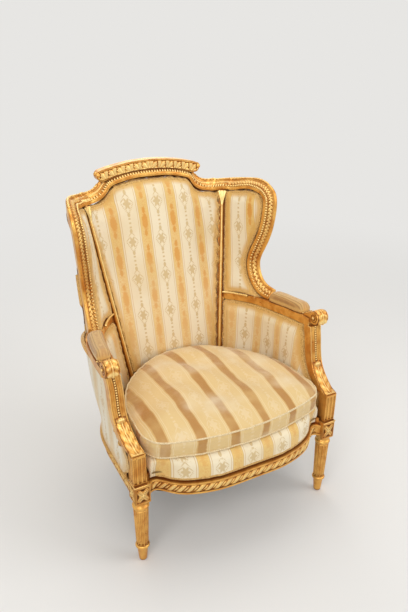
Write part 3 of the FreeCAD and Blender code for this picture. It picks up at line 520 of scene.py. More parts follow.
def rimOf(name, facing):  # evenly spaced points round the skin that faces that way
    mesh = nodes[name].data
    skin = max(skins(name), key=lambda s: s["area"] * s["normal"].dot(Vector(facing).normalized()))
    count = {}
    for face in skin["faces"]:
        for edge in face.edge_keys:
            count[edge] = count.get(edge, 0) + 1
    beside = {}
    for (a, b), times in count.items():
        if times == 1:
            beside.setdefault(a, []).append(b)
            beside.setdefault(b, []).append(a)
    loops = []
    left = set(beside)
    while left:
        here = left.pop()
        loop = [here]
        while True:
            step = [n for n in beside[here] if n in left]
            if not step:
                break
            here = step[0]
            left.discard(here)
            loop.append(here)
        loops.append(loop)
    loop = max(loops, key=len)
    points = np.array([mesh.vertices[i].co[:] for i in loop + loop[:1]])
    run = runOf(points)
    even = np.linspace(0, run[-1], int(run[-1] / rimSpacing))[:-1]
    return np.stack([np.interp(even, run, points[:, k]) for k in range(3)], axis=1)


def nearestDistance(points, line):
    tree = KDTree(len(line))
    for index, point in enumerate(line):
        tree.insert(point, index)
    tree.balance()
    found = [tree.find(p) for p in points]
    return np.array([f[2] for f in found]), np.array([f[1] for f in found])


def meshPoints(mesh, what="co"):
    points = np.empty(len(mesh.vertices) * 3, np.float32)
    mesh.vertices.foreach_get(what, points)
    return points.reshape(-1, 3).astype(float)


def setPoints(mesh, points):
    mesh.vertices.foreach_set("co", points.astype(np.float32).ravel())
    mesh.update()


def applied(piece):  # the piece's mesh with its modifiers
    view = bpy.context.evaluated_depsgraph_get()
    mesh = bpy.data.meshes.new_from_object(piece.evaluated_get(view))
    piece.modifiers.clear()
    piece.data = mesh
    return mesh


def inflate(piece, rim, look):
    # Cloth under pressure; how far a point may move grows from nothing at the rim to the cap
    start = meshPoints(piece.data)
    cloth = piece.modifiers.new("stuffing", "CLOTH")
    cloth.settings.use_pressure = True
    cloth.settings.uniform_pressure_force = stuffing["pressure"]
    cloth.settings.effector_weights.gravity = 0
    cloth.settings.quality = stuffing["quality"]
    cloth.point_cache.frame_start = 1
    cloth.point_cache.frame_end = stuffing["frames"]
    for step in range(stuffing["frames"]):
        scene.frame_set(step + 1)
    view = bpy.context.evaluated_depsgraph_get()
    swollen = bpy.data.meshes.new_from_object(piece.evaluated_get(view))
    moves = meshPoints(swollen) - start
    piece.modifiers.clear()
    scene.frame_set(1)
    bpy.data.meshes.remove(swollen)
    cap = np.full(len(start), look["cap"])
    if rim is not None:
        near, _ = nearestDistance(start, rim)
        cap = cap * np.clip(near / look.get("ease", stuffing["ease"]), 0, 1) ** 0.7
    size = np.linalg.norm(moves, axis=1)
    moves *= (np.minimum(size, cap) / np.maximum(size, 1e-9))[:, None]
    setPoints(piece.data, start + moves)


def softCopy(name, sources, voxel=0, shrink=0.0, smooth=0, tuck=0.0):
    points, faces = joined(sources, tuck)
    mesh = bpy.data.meshes.new(name)
    mesh.from_pydata(points, [], faces)
    shape = bmesh.new()
    shape.from_mesh(mesh)
    bmesh.ops.remove_doubles(shape, verts=shape.verts, dist=0.00005)
    bmesh.ops.recalc_face_normals(shape, faces=shape.faces)
    shape.to_mesh(mesh)
    shape.free()
    piece = placed(name, mesh)
    if voxel:
        remesh = piece.modifiers.new("even", "REMESH")
        remesh.mode = "VOXEL"
        remesh.voxel_size = voxel
        mesh = applied(piece)
    if smooth:
        soften = piece.modifiers.new("soften", "SMOOTH")
        soften.factor = 0.5
        soften.iterations = smooth
        mesh = applied(piece)
    if shrink:
        setPoints(mesh, meshPoints(mesh) - meshPoints(mesh, "normal") * shrink)
    return piece


def finishCloth(piece, clothPlace, rim, material, body=chair, rounds=1):
    if rounds:
        finer = piece.modifiers.new("finer", "SUBSURF")
        finer.levels = rounds
        finer.render_levels = rounds
        applied(piece)
    mesh = piece.data
    points = meshPoints(mesh)
    normals = meshPoints(mesh, "normal")
    across, along = clothPlace(points, normals)
    near = nearestDistance(points, rim)[0] if rim is not None else np.full(len(points), 0.5)
    layer = mesh.attributes.new("cloth", "FLOAT_VECTOR", "POINT")
    layer.data.foreach_set("vector", np.stack([across, along, near], axis=1).astype(np.float32).ravel())
    mesh.materials.clear()
    mesh.materials.append(material)
    mesh.polygons.foreach_set("use_smooth", [True] * len(mesh.polygons))
    mesh.update()
    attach(piece, body)


def rolling(values, reach, closed=True):  # each value becomes the mean of those about it
    pad = np.concatenate((values[-reach:], values, values[:reach])) if closed else np.concatenate(
        (np.repeat(values[:1], reach, axis=0), values, np.repeat(values[-1:], reach, axis=0)))
    total = sum(pad[k:k + len(values)] for k in range(2 * reach + 1))
    return total / (2 * reach + 1)


def ribbon(name, rim, piece, width, thick, skirt=1.6, towards=None):
    # A woven braid on a pad, just inside its rim: a cord at each edge and a fine twill between
    tree = treeOf(piece.data)
    closed = towards is None  # a ring unless it is told which way is up
    middle = rim.mean(axis=0)
    line = rolling(rim, 4, closed)
    count = len(line)
    step = np.roll(line, -3, axis=0) - np.roll(line, 3, axis=0) if closed else np.gradient(line, axis=0)
    tangents = rolling(step, 3, closed)
    columns = 13
    share = np.concatenate(([-0.5, -0.25], np.linspace(0, 1, columns - 2)))
    spots = np.zeros((count, columns, 3))
    normals = np.zeros((count, columns, 3))
    for index in range(count):
        here = Vector(line[index])
        tangent = Vector(tangents[index]).normalized()
        spot, normal, _, _ = tree.find_nearest(here)
        over = normal.cross(tangent).normalized()
        if over.dot(towards or Vector(middle) - here) < 0:
            over = -over
        for column in range(columns):
            place = here + over * (width * max(share[column], 0))
            spot, normal, _, _ = tree.find_nearest(place)
            spots[index, column] = spot + over * (width * min(share[column], 0) * skirt)
            normals[index, column] = normal
    spots, normals = rolling(spots, 2, closed), rolling(normals, 4, closed)
    cord = bell(share, 0.13, 0.08) + bell(share, 0.87, 0.08)
    run = runOf(line)
    twill = 0.5 + 0.5 * np.cos(2 * math.pi * (run[:, None] / 0.0052 + share[None, :] * 1.5))
    height = thick * (0.55 + 0.45 * cord[None, :] + 0.16 * twill)
    height[:, 0] = height[:, -1] = -0.0004
    points = (spots + normals * height[:, :, None]).reshape(-1, 3)
    faces = gridFaces(count, columns)
    if closed:
        last = (count - 1) * columns
        faces += [(last + c, last + c + 1, c + 1, c) for c in range(columns - 1)]
    newPiece(name, points, faces, gimp)


def tube(name, line, radius, material, body=chair, sides=8, closed=False):
    line = np.array(line)
    count = len(line)
    points = []
    side = None
    for index in range(count):
        after, before = (index + 1) % count, index - 1
        if not closed:
            after, before = min(index + 1, count - 1), max(index - 1, 0)
        ahead = unit(line[after] - line[before])
        if side is None:
            side = np.cross(ahead, (0, 0, 1)) if abs(ahead[2]) < 0.9 else np.cross(ahead, (0, 1, 0))
        side = unit(side - ahead * side.dot(ahead))
        up = np.cross(side, ahead)
        for k in range(sides):
            angle = 2 * math.pi * k / sides
            points.append(line[index] + side * math.cos(angle) * radius + up * math.sin(angle) * radius)
    faces = gridFaces(count, sides, True)
    if closed:
        last = (count - 1) * sides
        faces += [(last + k, last + (k + 1) % sides, (k + 1) % sides, k) for k in range(sides)]
    else:
        faces.append(tuple(range(sides))[::-1])
        faces.append(tuple((count - 1) * sides + k for k in range(sides)))
    newPiece(name, points, faces, material, body)


def stilePoint(z):  # the front of the stile's bead at a height, right side
    return np.array([0.1605 + 0.134 * (z - 0.290), 0.4175 + legLine + 0.2365 * (z - 0.290), z])


def backCloth(points, normals):
    return points[:, 0] / (1 + 0.10 * (points[:, 2] - 0.70)), points[:, 2] * 1.03


def wingCloth(points, normals):
    edge = stilePoint(points[:, 2])
    x = np.abs(points[:, 0]) - edge[0]
    y = edge[1] - points[:, 1]
    return x * 0.45 + y * 0.89 + 0.035, points[:, 2]


def armCloth(points, normals):
    x = np.abs(points[:, 0]) - 0.062
    y = points[:, 1] - legLine - 0.200
    bent = np.arctan2(y, x)
    return np.where(y < 0, y, bent * 0.27) + 0.2, points[:, 2]


def seatCloth(points, normals):
    top = np.abs(normals[:, 2]) > 0.6
    return points[:, 0], np.where(top, points[:, 1], points[:, 2])


armMiddle = np.array([(0.148, 0.348), (0.205, 0.345), (0.255, 0.339), (0.300, 0.3305), (0.330, 0.324)])


def armPadCloth(points, normals):
    y = points[:, 1] - legLine
    return np.abs(points[:, 0]) - np.interp(y, armMiddle[:, 0], armMiddle[:, 1]), y


bowHalf = ((1.0, 0.15), (0.93, 0.0), (0.8, 0.37), (0.61, 0.77), (0.35, 0.985), (0.0, 1.01))  # across, forward


def bowLine(z, back, count=240):  # the front rail's plan at a height, moved back
    half = [(0.302 * across, legLine - 0.086 * out + back, z) for across, out in bowHalf]
    return smoothLine([(-x, y, h) for x, y, h in half[:-1]] + half[::-1], count)


pads = {
    "insideBack": {"from": ["inside_back_pad"], "facing": (0, -1, 0.2), "cap": 0.012, "ease": 0.06, "voxel": 0.006,
                   "cloth": backCloth, "fill": 0.7},
}


def pairOf(name, source, facing, **look):
    for side, mirror in hands:
        pads[name + side] = dict(look, facing=(facing[0] * mirror, facing[1], facing[2]))
        pads[name + side]["from"] = [source + side.lower()]


pairOf("insideWing", "inside_wing_pad_", (-0.9, -0.3, 0), cap=0.006, voxel=0.005, cloth=wingCloth, fill=0.7)
pairOf("insideArm", "inside_arm_pad_", (-0.9, -0.3, 0), cap=0.005, voxel=0.006, cloth=armCloth, fill=0.7)
pairOf("armPad", "arm_pad_", (0, 0, -1), cap=0.003, voxel=0.004, cloth=armPadCloth, fill=0.8, silk=armPadSilk,
       slot="arm_pad_silk", skirt=0.0)
pads["seatFront"] = {"from": ["seat_platform", "seat_front_roll"], "cap": 0.004, "voxel": 0.007, "smooth": 12,
                     "tuck": 0.016, "cloth": seatCloth, "fill": 0.8, "silk": seatSilk}
braid = {"width": 0.013, "thick": 0.0014, "seatThick": 0.0016, "seatHeight": 0.2805, "seatBack": -0.0035,
         "seatEnds": 11, "panelWidth": 0.011}


def makePads():
    for name, look in pads.items():
        rim = rimOf(look["from"][0], look["facing"]) if "facing" in look else None
        piece = softCopy(name, look["from"], look["voxel"], 0.0005, look.get("smooth", 0), look.get("tuck", 0.0))
        inflate(piece, rim, look)
        finishCloth(piece, look["cloth"], rim, look.get("silk", stripedSilk))
        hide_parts(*look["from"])
        if rim is not None:
            ribbon(name + "Gimp", rim, piece, braid["width"], braid["thick"], look.get("skirt", 1.6))
        else:
            line = bowLine(braid["seatHeight"], braid["seatBack"])[braid["seatEnds"]:-braid["seatEnds"]]
            ribbon(name + "Gimp", line, piece, braid["width"], braid["seatThick"], 0.3, Vector((0, 0, 1)))
        print("pad", name, len(piece.data.vertices))


makePads()

panels = {"outsideBack": ("outside_back_panel", (0, 1, 0), backCloth)}
for kind, place in (("Wing", wingCloth), ("Arm", armCloth)):
    for side, mirror in hands:
        source = "outside_%s_panel_%s" % (kind.lower(), side.lower())
        panels["outside" + kind + side] = (source, (mirror, 0.3, 0), place)


def makePanels():
    for name, (source, facing, place) in panels.items():
        piece = softCopy(name, [source])
        rim = rimOf(source, facing)
        finishCloth(piece, place, rim, outsideSilk, rounds=0)
        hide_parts(source)
        ribbon(name + "Gimp", rim, piece, braid["panelWidth"], braid["thick"])


makePanels()
print("panels and gimp made")


# Carving: each relief is a fine net laid on the wood it grows from

def castOn(tree, point, normal, reach=0.012):
    spot, _, _, _ = tree.ray_cast(Vector(point + normal * reach), Vector(-normal), reach * 2.4)
    return np.array(spot) if spot else point


def laid(tree, points, normals, heights):  # the net's points, on the wood and raised by the relief
    result = np.zeros_like(points)
    for row in range(points.shape[0]):
        for column in range(points.shape[1]):
            normal = normals[row, column]
            result[row, column] = castOn(tree, points[row, column], normal) + normal * heights[row, column]
    return result


def raised(piece, rise):  # how high each point stands in the carving, which drives painted shade in its hollows and painted highlight on its tops
    layer = piece.data.attributes.new("rise", "FLOAT", "POINT")
    layer.data.foreach_set("value", np.clip(np.ravel(rise), 0, 1).astype(np.float32))


def bothSides(name, points, faces, material, rise=None):
    for side, mirror in hands:
        turned = [f[::mirror] for f in faces]
        piece = newPiece(name + side, points * (mirror, 1, 1), turned, material)
        if rise is not None:
            raised(piece, rise)


def bothNets(name, net, material, rise=None):
    bothSides(name, net.reshape(-1, 3), gridFaces(*net.shape[:2]), material, rise)


def bothTubes(name, path, radius, material, sides):
    for side, mirror in hands:
        tube(name + side, path * (mirror, 1, 1), radius, material, sides=sides)


def sunk(heights, depth=0.0007):  # the rim of a relief goes under the surface
    heights[0, :] = heights[-1, :] = -depth
    heights[:, 0] = heights[:, -1] = -depth
    return heights


def leafRow(s, t, pitch, half, tilt=0.62):  # laurel leaves in pairs
    height = np.zeros(np.broadcast(s, t).shape)
    for side in (-1, 1):
        for k in (-1, 0, 1):
            ds = s - (np.floor(s / pitch) + k + 0.5 + 0.25 * side) * pitch
            dt = t * side - half * 0.46
            a = ds * math.cos(tilt) + dt * math.sin(tilt)
            b = dt * math.cos(tilt) - ds * math.sin(tilt)
            dome = np.maximum(1 - (a / (pitch * 0.64)) ** 2 - (b / (pitch * 0.30)) ** 2, 0) ** 0.5
            height = np.maximum(height, dome * (1 - 0.4 * bell(b, 0, pitch * 0.06)))
    return height


def ribbonTwist(s, t, pitch, half):  # a ribbon wound round a rod, with a leaf bud in each gap
    turn = (s / pitch - 0.40 * t / half) % 1
    rod = np.maximum(1 - (t / half) ** 2, 0) ** 0.4
    wrap = np.where(turn < 0.62, np.sin(np.pi * np.clip(turn / 0.62, 0, 1)) ** 0.45, 0)
    wrap = wrap * (1 - 0.30 * bell(turn, 0.31, 0.05) - 0.2 * bell(turn, 0.13, 0.03)
                   - 0.2 * bell(turn, 0.49, 0.03))
    bud = np.maximum(1 - ((turn - 0.81) / 0.17) ** 2 - (t / (half * 0.7)) ** 2, 0) ** 0.5
    return np.maximum(rod * wrap, bud * 0.75)


def palmettes(s, t, pitch, half):  # fans of lobed leaves that lean away from the middle
    height = np.zeros(s.shape)
    for k in (0, 1):
        across = np.abs(s) % pitch + k * pitch - pitch * 0.20
        up = t + half * 0.95
        far = np.hypot(across, up)
        lean = np.arctan2(across, up)
        lobe = 0.74 + 0.26 * np.abs(np.cos(lean * 4.0))
        size = pitch * 1.12 * (1 - 0.22 * (lean - 0.45) ** 2) * lobe
        fan = np.maximum(1 - (far / np.maximum(size, 1e-4)) ** 4, 0) ** 0.5
        veins = 0.62 + 0.38 * np.abs(np.cos(lean * 4.0)) ** 0.6
        height = np.maximum(height, fan * veins * (0.75 + 0.25 * far / pitch))
    eye = np.exp(-(((np.abs(s) % pitch - pitch * 0.92) / 0.0020) ** 2 + ((t - half * 0.45) / 0.0020) ** 2))
    return height * (1 - 0.95 * eye)


def acanthus(u, v):  # u across from -1 to 1, v from the root to the tip
    lobes = np.abs(np.sin(np.pi * (v * 4.2 + 0.25))) ** 0.6
    width = (0.98 - 0.30 * v ** 3) * (0.80 + 0.20 * lobes) * np.clip((1.02 - v) / 0.12, 0, 1) ** 0.5
    side = np.abs(u)
    body = np.maximum(1 - (side / np.maximum(width, 0.02)) ** 4, 0) ** 0.5
    veins = 0.5 + 0.5 * np.cos(2 * np.pi * (v * 4.2 - side * 0.85 + 0.25))
    rib = bell(u, 0, 0.10)
    groove = bell(side, 0.17, 0.05)
    return body * (0.50 + 0.30 * veins * (1 - rib) + 0.42 * rib - 0.22 * groove + 0.18 * side)


def rosette(x, y, reach):  # four diagonal leaves round a boss
    far, turn = np.hypot(x, y), np.arctan2(y, x)
    leafWidth = np.abs(np.sin(2 * turn))
    size = reach * (0.30 + 0.95 * leafWidth ** 1.3)
    petals = np.maximum(1 - (far / size) ** 2, 0) ** 0.5
    petals = petals * (0.75 + 0.25 * np.cos(far / 0.0042 * 2 * np.pi) * (far > 0.006))
    petals = petals * (1 - 0.45 * np.exp(-(np.cos(2 * turn) * far / 0.0016) ** 2))
    small = np.maximum(1 - (far / (reach * (0.25 + 0.45 * np.abs(np.cos(2 * turn)) ** 2))) ** 2, 0) ** 0.5 * 0.6
    boss = np.maximum(1 - (far / (reach * 0.20)) ** 2, 0) ** 0.5 * 1.15
    return np.maximum(np.maximum(petals, small), boss)


def pearls(name, spots, normals, radius, material=giltCarved, stretch=1.0, across=None):  # half sunk round beads
    points, faces, rise = [], [], []
    rings, sides = 4, 9
    for index, (spot, normal) in enumerate(zip(spots, normals)):
        normal = unit(np.array(normal, float))
        side = np.cross(normal, (0.31, 0.52, 0.79)) if across is None else across[index]
        side = unit(side - normal * side.dot(normal))
        other = np.cross(normal, side)
        first = len(points)
        for ring in range(rings):
            lift = math.radians(-20 + 28 * ring)
            for k in range(sides):
                angle = 2 * math.pi * k / sides
                flat = side * math.cos(angle) * stretch + other * math.sin(angle)
                points.append(spot + flat * radius * math.cos(lift) + normal * radius * math.sin(lift))
        points.append(spot + normal * radius)
        # each bead's foot is marked for painted shade and its top for painted highlight
        rise += [0.0] * sides + [0.6] * sides + [1.0] * (sides * 2 + 1)
        for ring in range(rings - 1):
            for k in range(sides):
                a, b = first + ring * sides + k, first + ring * sides + (k + 1) % sides
                faces.append((a, b, b + sides, a + sides))
        top = first + (rings - 1) * sides
        faces += [(top + k, top + (k + 1) % sides, first + rings * sides) for k in range(sides)]
    bothSides(name, np.array(points), faces, material, rise)


band = {  # x, y, z and outward direction of the moulding's outer edge, right half, from the middle of the crest
    "line": ((-70, 658, 1026, 90), (0, 658, 1029, 90), (70, 658, 1026, 90), (130, 659, 1014, 90), (160, 661, 1002, 90),
             (178, 663, 984, 88), (194, 662, 967, 84), (216, 658, 958, 74), (237, 649, 957, 62), (256, 630, 959, 50),
             (290, 584, 968, 34), (317, 540, 975, 24), (338, 477, 983, 15), (349, 424, 974, 10), (353, 383, 942, 8),
             (350, 373, 890, 8), (344, 381, 820, 8), (334, 406, 748, 8), (327, 421, 698, 8), (328, 402, 647, 8),
             (334, 370, 626, 8), (341, 340, 620, 8)),
    # millimetres inwards and deep, and the surface's direction in the same two ways
    "section": ((0, 8, -0.95, -0.30), (1.5, 3, -0.75, -0.66), (4, 1, -0.2, -0.98), (8, 2.2, 0.35, -0.93),
                (11, 5, 0.6, -0.8), (13, 9, 0.62, -0.78), (28, 21, 0.5, -0.86), (31, 22.5, 0.45, -0.9),
                (34, 25, 0.8, -0.6), (36, 30, 0.98, -0.2)),
    "joint": 0.335, "bend": 0.520, "pearlStep": 0.0092, "pearl": 0.0038, "ribStep": 0.0100,
    "leafPitch": 0.0130, "leafHeight": 0.0040,
}


def bandFrames(count=1400):
    line = np.array(band["line"], float)
    line[:, :3] /= 1000
    line[:, 1] += legLine
    line = smoothLine(line, count)
    run = unit(np.gradient(line[:, :3], axis=0))
    turn = np.radians(line[:, 3])
    out = np.stack([np.cos(turn), np.sin(turn), 0 * turn], axis=1)
    out = unit(out - run * (out * run).sum(axis=1)[:, None])
    down = np.cross(out, run)
    far = runOf(line[:, :3])
    middle = np.interp(0, line[:, 0][:count // 4], far[:count // 4])
    return line[:, :3], run, out, down, far - middle


bandPlace = bandFrames()
bandEnd = bandPlace[4][-1]
frameWood = surfaceOf("crest_rail", "wing_frame_right", "rear_leg_right")


def bandNet(lengths, inwards):  # points and normals of the moulding at these lengths and inward places
    line, run, out, down, far = bandPlace
    at = [np.stack([np.interp(lengths, far, a[:, k]) for k in range(3)], axis=1)[:, None, :]
          for a in (line, out, down)]
    section = np.array(band["section"])
    inwards = np.asarray(inwards) * 1000
    deep, nIn, nDeep = (np.interp(inwards, section[:, 0], section[:, k])[None, :, None] for k in (1, 2, 3))
    points = at[0] - at[1] * (inwards[None, :, None] / 1000) + at[2] * (deep / 1000)
    return points, unit(at[2] * nDeep - at[1] * nIn)


def bandRelief(name, start, end, low, high, relief, material, columns=13, fine=0.0011):
    lengths = np.linspace(start, end, int((end - start) / fine))
    inwards = np.linspace(low, high, columns)
    points, normals = bandNet(lengths, inwards)
    half = (high - low) / 2
    heights = sunk(relief(lengths[:, None], (inwards - low - half)[None, :], half))
    bothNets(name, laid(frameWood, points, normals, heights), material, heights / heights.max())


def carveBand():
    end = bandEnd - 0.004
    joint = band["joint"]  # where the crest ends and the wing begins

    def leaves(s, t, half):
        return leafRow(s, t, band["leafPitch"], half) * band["leafHeight"] * np.clip(1.25 - np.abs(t / half), 0, 1)

    def lowLeaves(s, t, half):
        return leaves(s, t, half) * 0.8

    def fillet(s, t, half):
        return 0.0013 * np.maximum(1 - (t / half) ** 2, 0) ** 0.5 + 0 * s

    bandRelief("bandLeaves", joint + 0.002, end, 0.0122, 0.0275, leaves, giltCarved)
    bandRelief("outerLeaves", 0.196, band["bend"], 0.0006, 0.0112, lowLeaves, giltCarved, 11)
    bandRelief("brightFillet", 0.0, joint + 0.10, 0.0125, 0.0200, fillet, giltHighlit, 7, 0.003)
    for name, start, stop, step, inward, radius, stretch in (
            ("innerPearls", joint, end, band["pearlStep"], 0.0315, band["pearl"], 1.0),
            ("crestRibs", 0.0, joint, band["ribStep"], 0.0280, 0.0038, 2.0)):
        lengths = np.arange(start + step / 2, stop, step)
        points, normals = bandNet(lengths, [inward])
        run = np.stack([np.interp(lengths, bandPlace[4], bandPlace[1][:, k]) for k in range(3)], axis=1)
        side = np.cross(normals[:, 0], run)
        spots = [castOn(frameWood, p, n) + n * 0.0002 for p, n in zip(points[:, 0], normals[:, 0])]
        pearls(name, spots, normals[:, 0], radius, stretch=stretch, across=side)


crest = {  # the heights of the face's two edges go with places outwards from the middle
    "front": 0.636, "reach": 0.187, "count": 330, "half": 0.0160, "pitch": 0.0297, "rise": 0.0048,
    "top": ((0, 0.06, 0.12, 0.178, 0.187), (1.0465, 1.0437, 1.0354, 1.0215, 1.013)),
    "foot": ((0, 0.06, 0.12, 0.162, 0.178, 0.187), (1.0145, 1.0114, 1.0023, 0.9915, 0.992, 1.004)),
    "lip": 0.0022, "footBead": 0.0014, "ear": 0.0085,
}


def carveCrest():
    front = legLine + crest["front"]
    x = np.linspace(0, crest["reach"], crest["count"])
    high = np.interp(x, *crest["top"])
    low = np.interp(x, *crest["foot"])
    share = np.linspace(0, 1, 34)
    z = low[:, None] + (high - low)[:, None] * share[None, :]
    half = crest["half"]
    t = (share[None, :] - 0.44) * 2 * half + 0 * z
    field = np.clip((0.86 - share) / 0.03, 0, 1) * np.clip((share - 0.06) / 0.04, 0, 1)
    heights = palmettes(x[:, None] + 0 * z, t, crest["pitch"], half * 0.84) * crest["rise"] * field[None, :]
    heights += (crest["lip"] * bell(share, 0.93, 0.045) + crest["footBead"] * bell(share, 0.035, 0.03))[None, :]
    heights[-1, :] = heights[:, 0] = heights[:, -1] = -0.0005
    net = np.stack([x[:, None] + 0 * z, front - heights, z], axis=2)
    bothNets("crestPalmettes", net, giltCarved, heights / 0.0040)
    ends = [(0.183, front, 1.0100), (0.186, front + 0.012, 1.012)]
    pearls("crestEar", ends, [(0.5, -1, 0.1), (1.0, 0, 0.2)], crest["ear"], giltWood)


def layLeaf(name, wood, path, normals, leaf):  # an acanthus leaf along a path, with its root and its curled tip
    u = np.linspace(-1, 1, 35)
    v = np.linspace(0, 1, len(path))
    points = path[:, None, :] + np.array((1.0, 0, 0)) * (u * leaf["half"])[None, :, None]
    spread = np.repeat(normals[:, None, :], len(u), axis=1)
    curl = bell(v, leaf["curl"], leaf["curlReach"])[:, None]
    broad = (np.clip(1 - np.abs(u) / leaf["curlHalf"], 0, 1) ** leaf["curlPower"])[None, :]
    heights = acanthus(u[None, :], v[:, None] * leaf["tip"]) * leaf["rise"] + leaf["curlRise"] * curl * broad
    heights += leaf["root"] * bell(v, 0.015, 0.012)[:, None]
    # the leaf's rise drives painted shade in its hollows and painted highlight on its tops
    bothNets(name, laid(wood, points, spread, sunk(heights)), giltCarved, heights / leaf["shadingHeight"] - 0.15)


support = {  # x, y, z of its front, from the leg up; the counts are points along it
    "line": ((0.330, -0.0125, 0.392), (0.333, 0.020, 0.399), (0.337, 0.052, 0.418), (0.340, 0.078, 0.444),
             (0.342, 0.093, 0.476), (0.342, 0.100, 0.515), (0.343, 0.107, 0.550), (0.345, 0.112, 0.586)),
    "count": 240, "leafEnd": 118, "pearlEnd": 232, "pearlStep": 7, "pearl": 0.0036,
    "filletEnd": 238, "filletAcross": 0.0192, "fillet": 0.0017,
    "leaf": {"half": 0.0208, "rise": 0.0062, "tip": 1.0, "curl": 0.93, "curlReach": 0.05, "curlRise": 0.0060,
             "curlHalf": 0.8, "curlPower": 0.5, "root": 0.0022, "shadingHeight": 0.0058},
}


def carveSupports():
    wood = surfaceOf("arm_support_right", "arm_rail_right", "front_leg_right")
    line = smoothLine([(x, y + legLine, z) for x, y, z in support["line"]], support["count"])
    side = np.array((1.0, 0, 0))
    normals = np.cross(side, unit(np.gradient(line, axis=0)))
    normals *= np.where(normals[:, 1] > 0, -1, 1)[:, None]
    leafEnd = support["leafEnd"]
    layLeaf("supportLeaf", wood, line[:leafEnd], normals[:leafEnd], support["leaf"])
    steps = list(range(leafEnd + 4, support["pearlEnd"], support["pearlStep"]))
    spots = [castOn(wood, line[i], normals[i]) + normals[i] * 0.0004 for i in steps]
    pearls("supportPearls", spots, [normals[i] for i in steps], support["pearl"])
    for index, across in enumerate((-support["filletAcross"], support["filletAcross"])):
        path = [castOn(wood, line[i] + side * across, normals[i]) for i in range(leafEnd, support["filletEnd"])]
        bothTubes("supportFillet%d" % index, np.array(path), support["fillet"], giltHighlit, 7)


scroll = {
    "centre": (0.3525, 0.111, 0.607), "radius": 0.021, "eye": 0.0048, "eyeInside": 0.3305, "eyeOutside": 0.3745,
    "pearl": 0.0036, "pearlSpacing": 0.0068,
    "leaf": {"half": 0.0205, "rise": 0.0058, "tip": 0.97, "curl": 0.82, "curlReach": 0.10, "curlRise": 0.0052,
             "curlHalf": 0.95, "curlPower": 0.4, "root": 0.0, "shadingHeight": 0.0056},
}


def carveScrolls():
    wood = surfaceOf("arm_rail_right", "arm_support_right")
    x, y, z = scroll["centre"]
    centre = np.array((x, y + legLine, z))
    path, normals = [], []
    for back in np.linspace(0.170, 0.124, 26):
        path.append((x, back + legLine, 0.5995 + (0.170 - back) * 0.55))
        normals.append((0, -0.35, 0.94))
    for angle in np.linspace(75, -62, 74):
        a = math.radians(angle)
        path.append(centre + np.array((0, -math.cos(a), math.sin(a))) * scroll["radius"])
        normals.append((0, -math.cos(a), math.sin(a)))
    path, normals = rolling(np.array(path), 3, False), unit(rolling(np.array(normals, float), 6, False))
    layLeaf("scrollLeaf", wood, path, normals, scroll["leaf"])
    spots = [(x + k * scroll["pearlSpacing"], 0.1715 + legLine, 0.5990) for k in (-2.5, -1.5, -0.5, 0.5, 1.5, 2.5)]
    pearls("scrollPearls", spots, [(0, -0.3, 0.95)] * 6, scroll["pearl"])
    for label, place, facing in (("In", scroll["eyeInside"], -1.0), ("Out", scroll["eyeOutside"], 1.0)):
        pearls("scrollEye" + label, [(place, centre[1], z)], [(facing, 0, 0)], scroll["eye"])


rail = {"low": 0.2466, "middle": 0.2595, "high": 0.2724, "pitch": 0.0275, "rise": 0.0056}


def carveRails():
    z = np.linspace(rail["low"], rail["high"], 21)
    half = (z[-1] - z[0]) / 2

    def lay(name, line, wood, mirrored):
        out = np.cross(unit(np.gradient(line, axis=0)), (0, 0, 1))
        points = np.repeat(line[:, None, :], len(z), axis=1)
        points[:, :, 2] = z[None, :]
        normals = np.repeat(out[:, None, :], len(z), axis=1)
        twist = ribbonTwist(runOf(line)[:, None], (z - z.mean())[None, :], rail["pitch"], half)
        heights = sunk(twist * rail["rise"])
        net = laid(wood, points, normals, heights)
        if mirrored:
            bothNets(name, net, giltCarved, heights / 0.0050)
        else:
            piece = newPiece(name, net.reshape(-1, 3), gridFaces(*net.shape[:2]), giltCarved)
            raised(piece, heights / 0.0050)

    lay("frontRailRibbon", bowLine(rail["middle"], 0.003, 560)[14:-14], surfaceOf("front_rail"), False)
    straight = [(0.344, y + legLine, rail["middle"]) for y in np.linspace(0.0255, 0.200, 175)]
    angles = np.radians(np.linspace(0.25, 59.3, 290))
    bent = [(0.062 + 0.282 * math.cos(a), 0.200 + legLine + 0.282 * math.sin(a), rail["middle"]) for a in angles]
    lay("sideRailRibbon", np.array(straight + bent), surfaceOf("side_rail_right"), True)


die = {"wide": 0.0226, "tall": 0.0295, "rosette": 0.0195, "rise": 0.0046, "frame": 0.0020, "ledge": 0.0023}


def carveDies():
    wood = surfaceOf("front_leg_right")
    for name, centre, along, out in (
            ("dieFront", (0.325, legLine - 0.023, 0.259), (1, 0, 0), (0, -1, 0)),
            ("dieSide", (0.348, legLine, 0.259), (0, 1, 0), (1, 0, 0))):
        a = np.linspace(-die["wide"], die["wide"], 41)
        b = np.linspace(-die["tall"], die["tall"], 53)
        x, y = a[:, None] + 0 * b[None, :], b[None, :] + 0 * a[:, None]
        heights = rosette(x, y * 0.80, die["rosette"]) * die["rise"]
        upright, level = np.abs(x) - 0.0205, np.abs(y) - 0.0265
        frameLine = np.maximum(bell(upright, 0, 0.0012), bell(level, 0, 0.0018))
        heights = sunk(np.maximum(heights * (np.abs(x) < 0.019) * (np.abs(y) < 0.0245), frameLine * die["frame"]), 0.0004)
        points = np.array(centre) + x[:, :, None] * np.array(along) + y[:, :, None] * np.array((0, 0, 1.0))
        normals = np.zeros_like(points) + np.array(out, float)
        bothNets(name, laid(wood, points, normals, heights), giltCarved, heights / 0.0036)
    ledge = [(x, legLine + y, 0.2905) for x, y in ((0.3025, -0.0235), (0.3485, -0.0235), (0.3485, 0.0225))]
    bothTubes("dieLedge", np.array(ledge), die["ledge"], giltHighlit, 8)


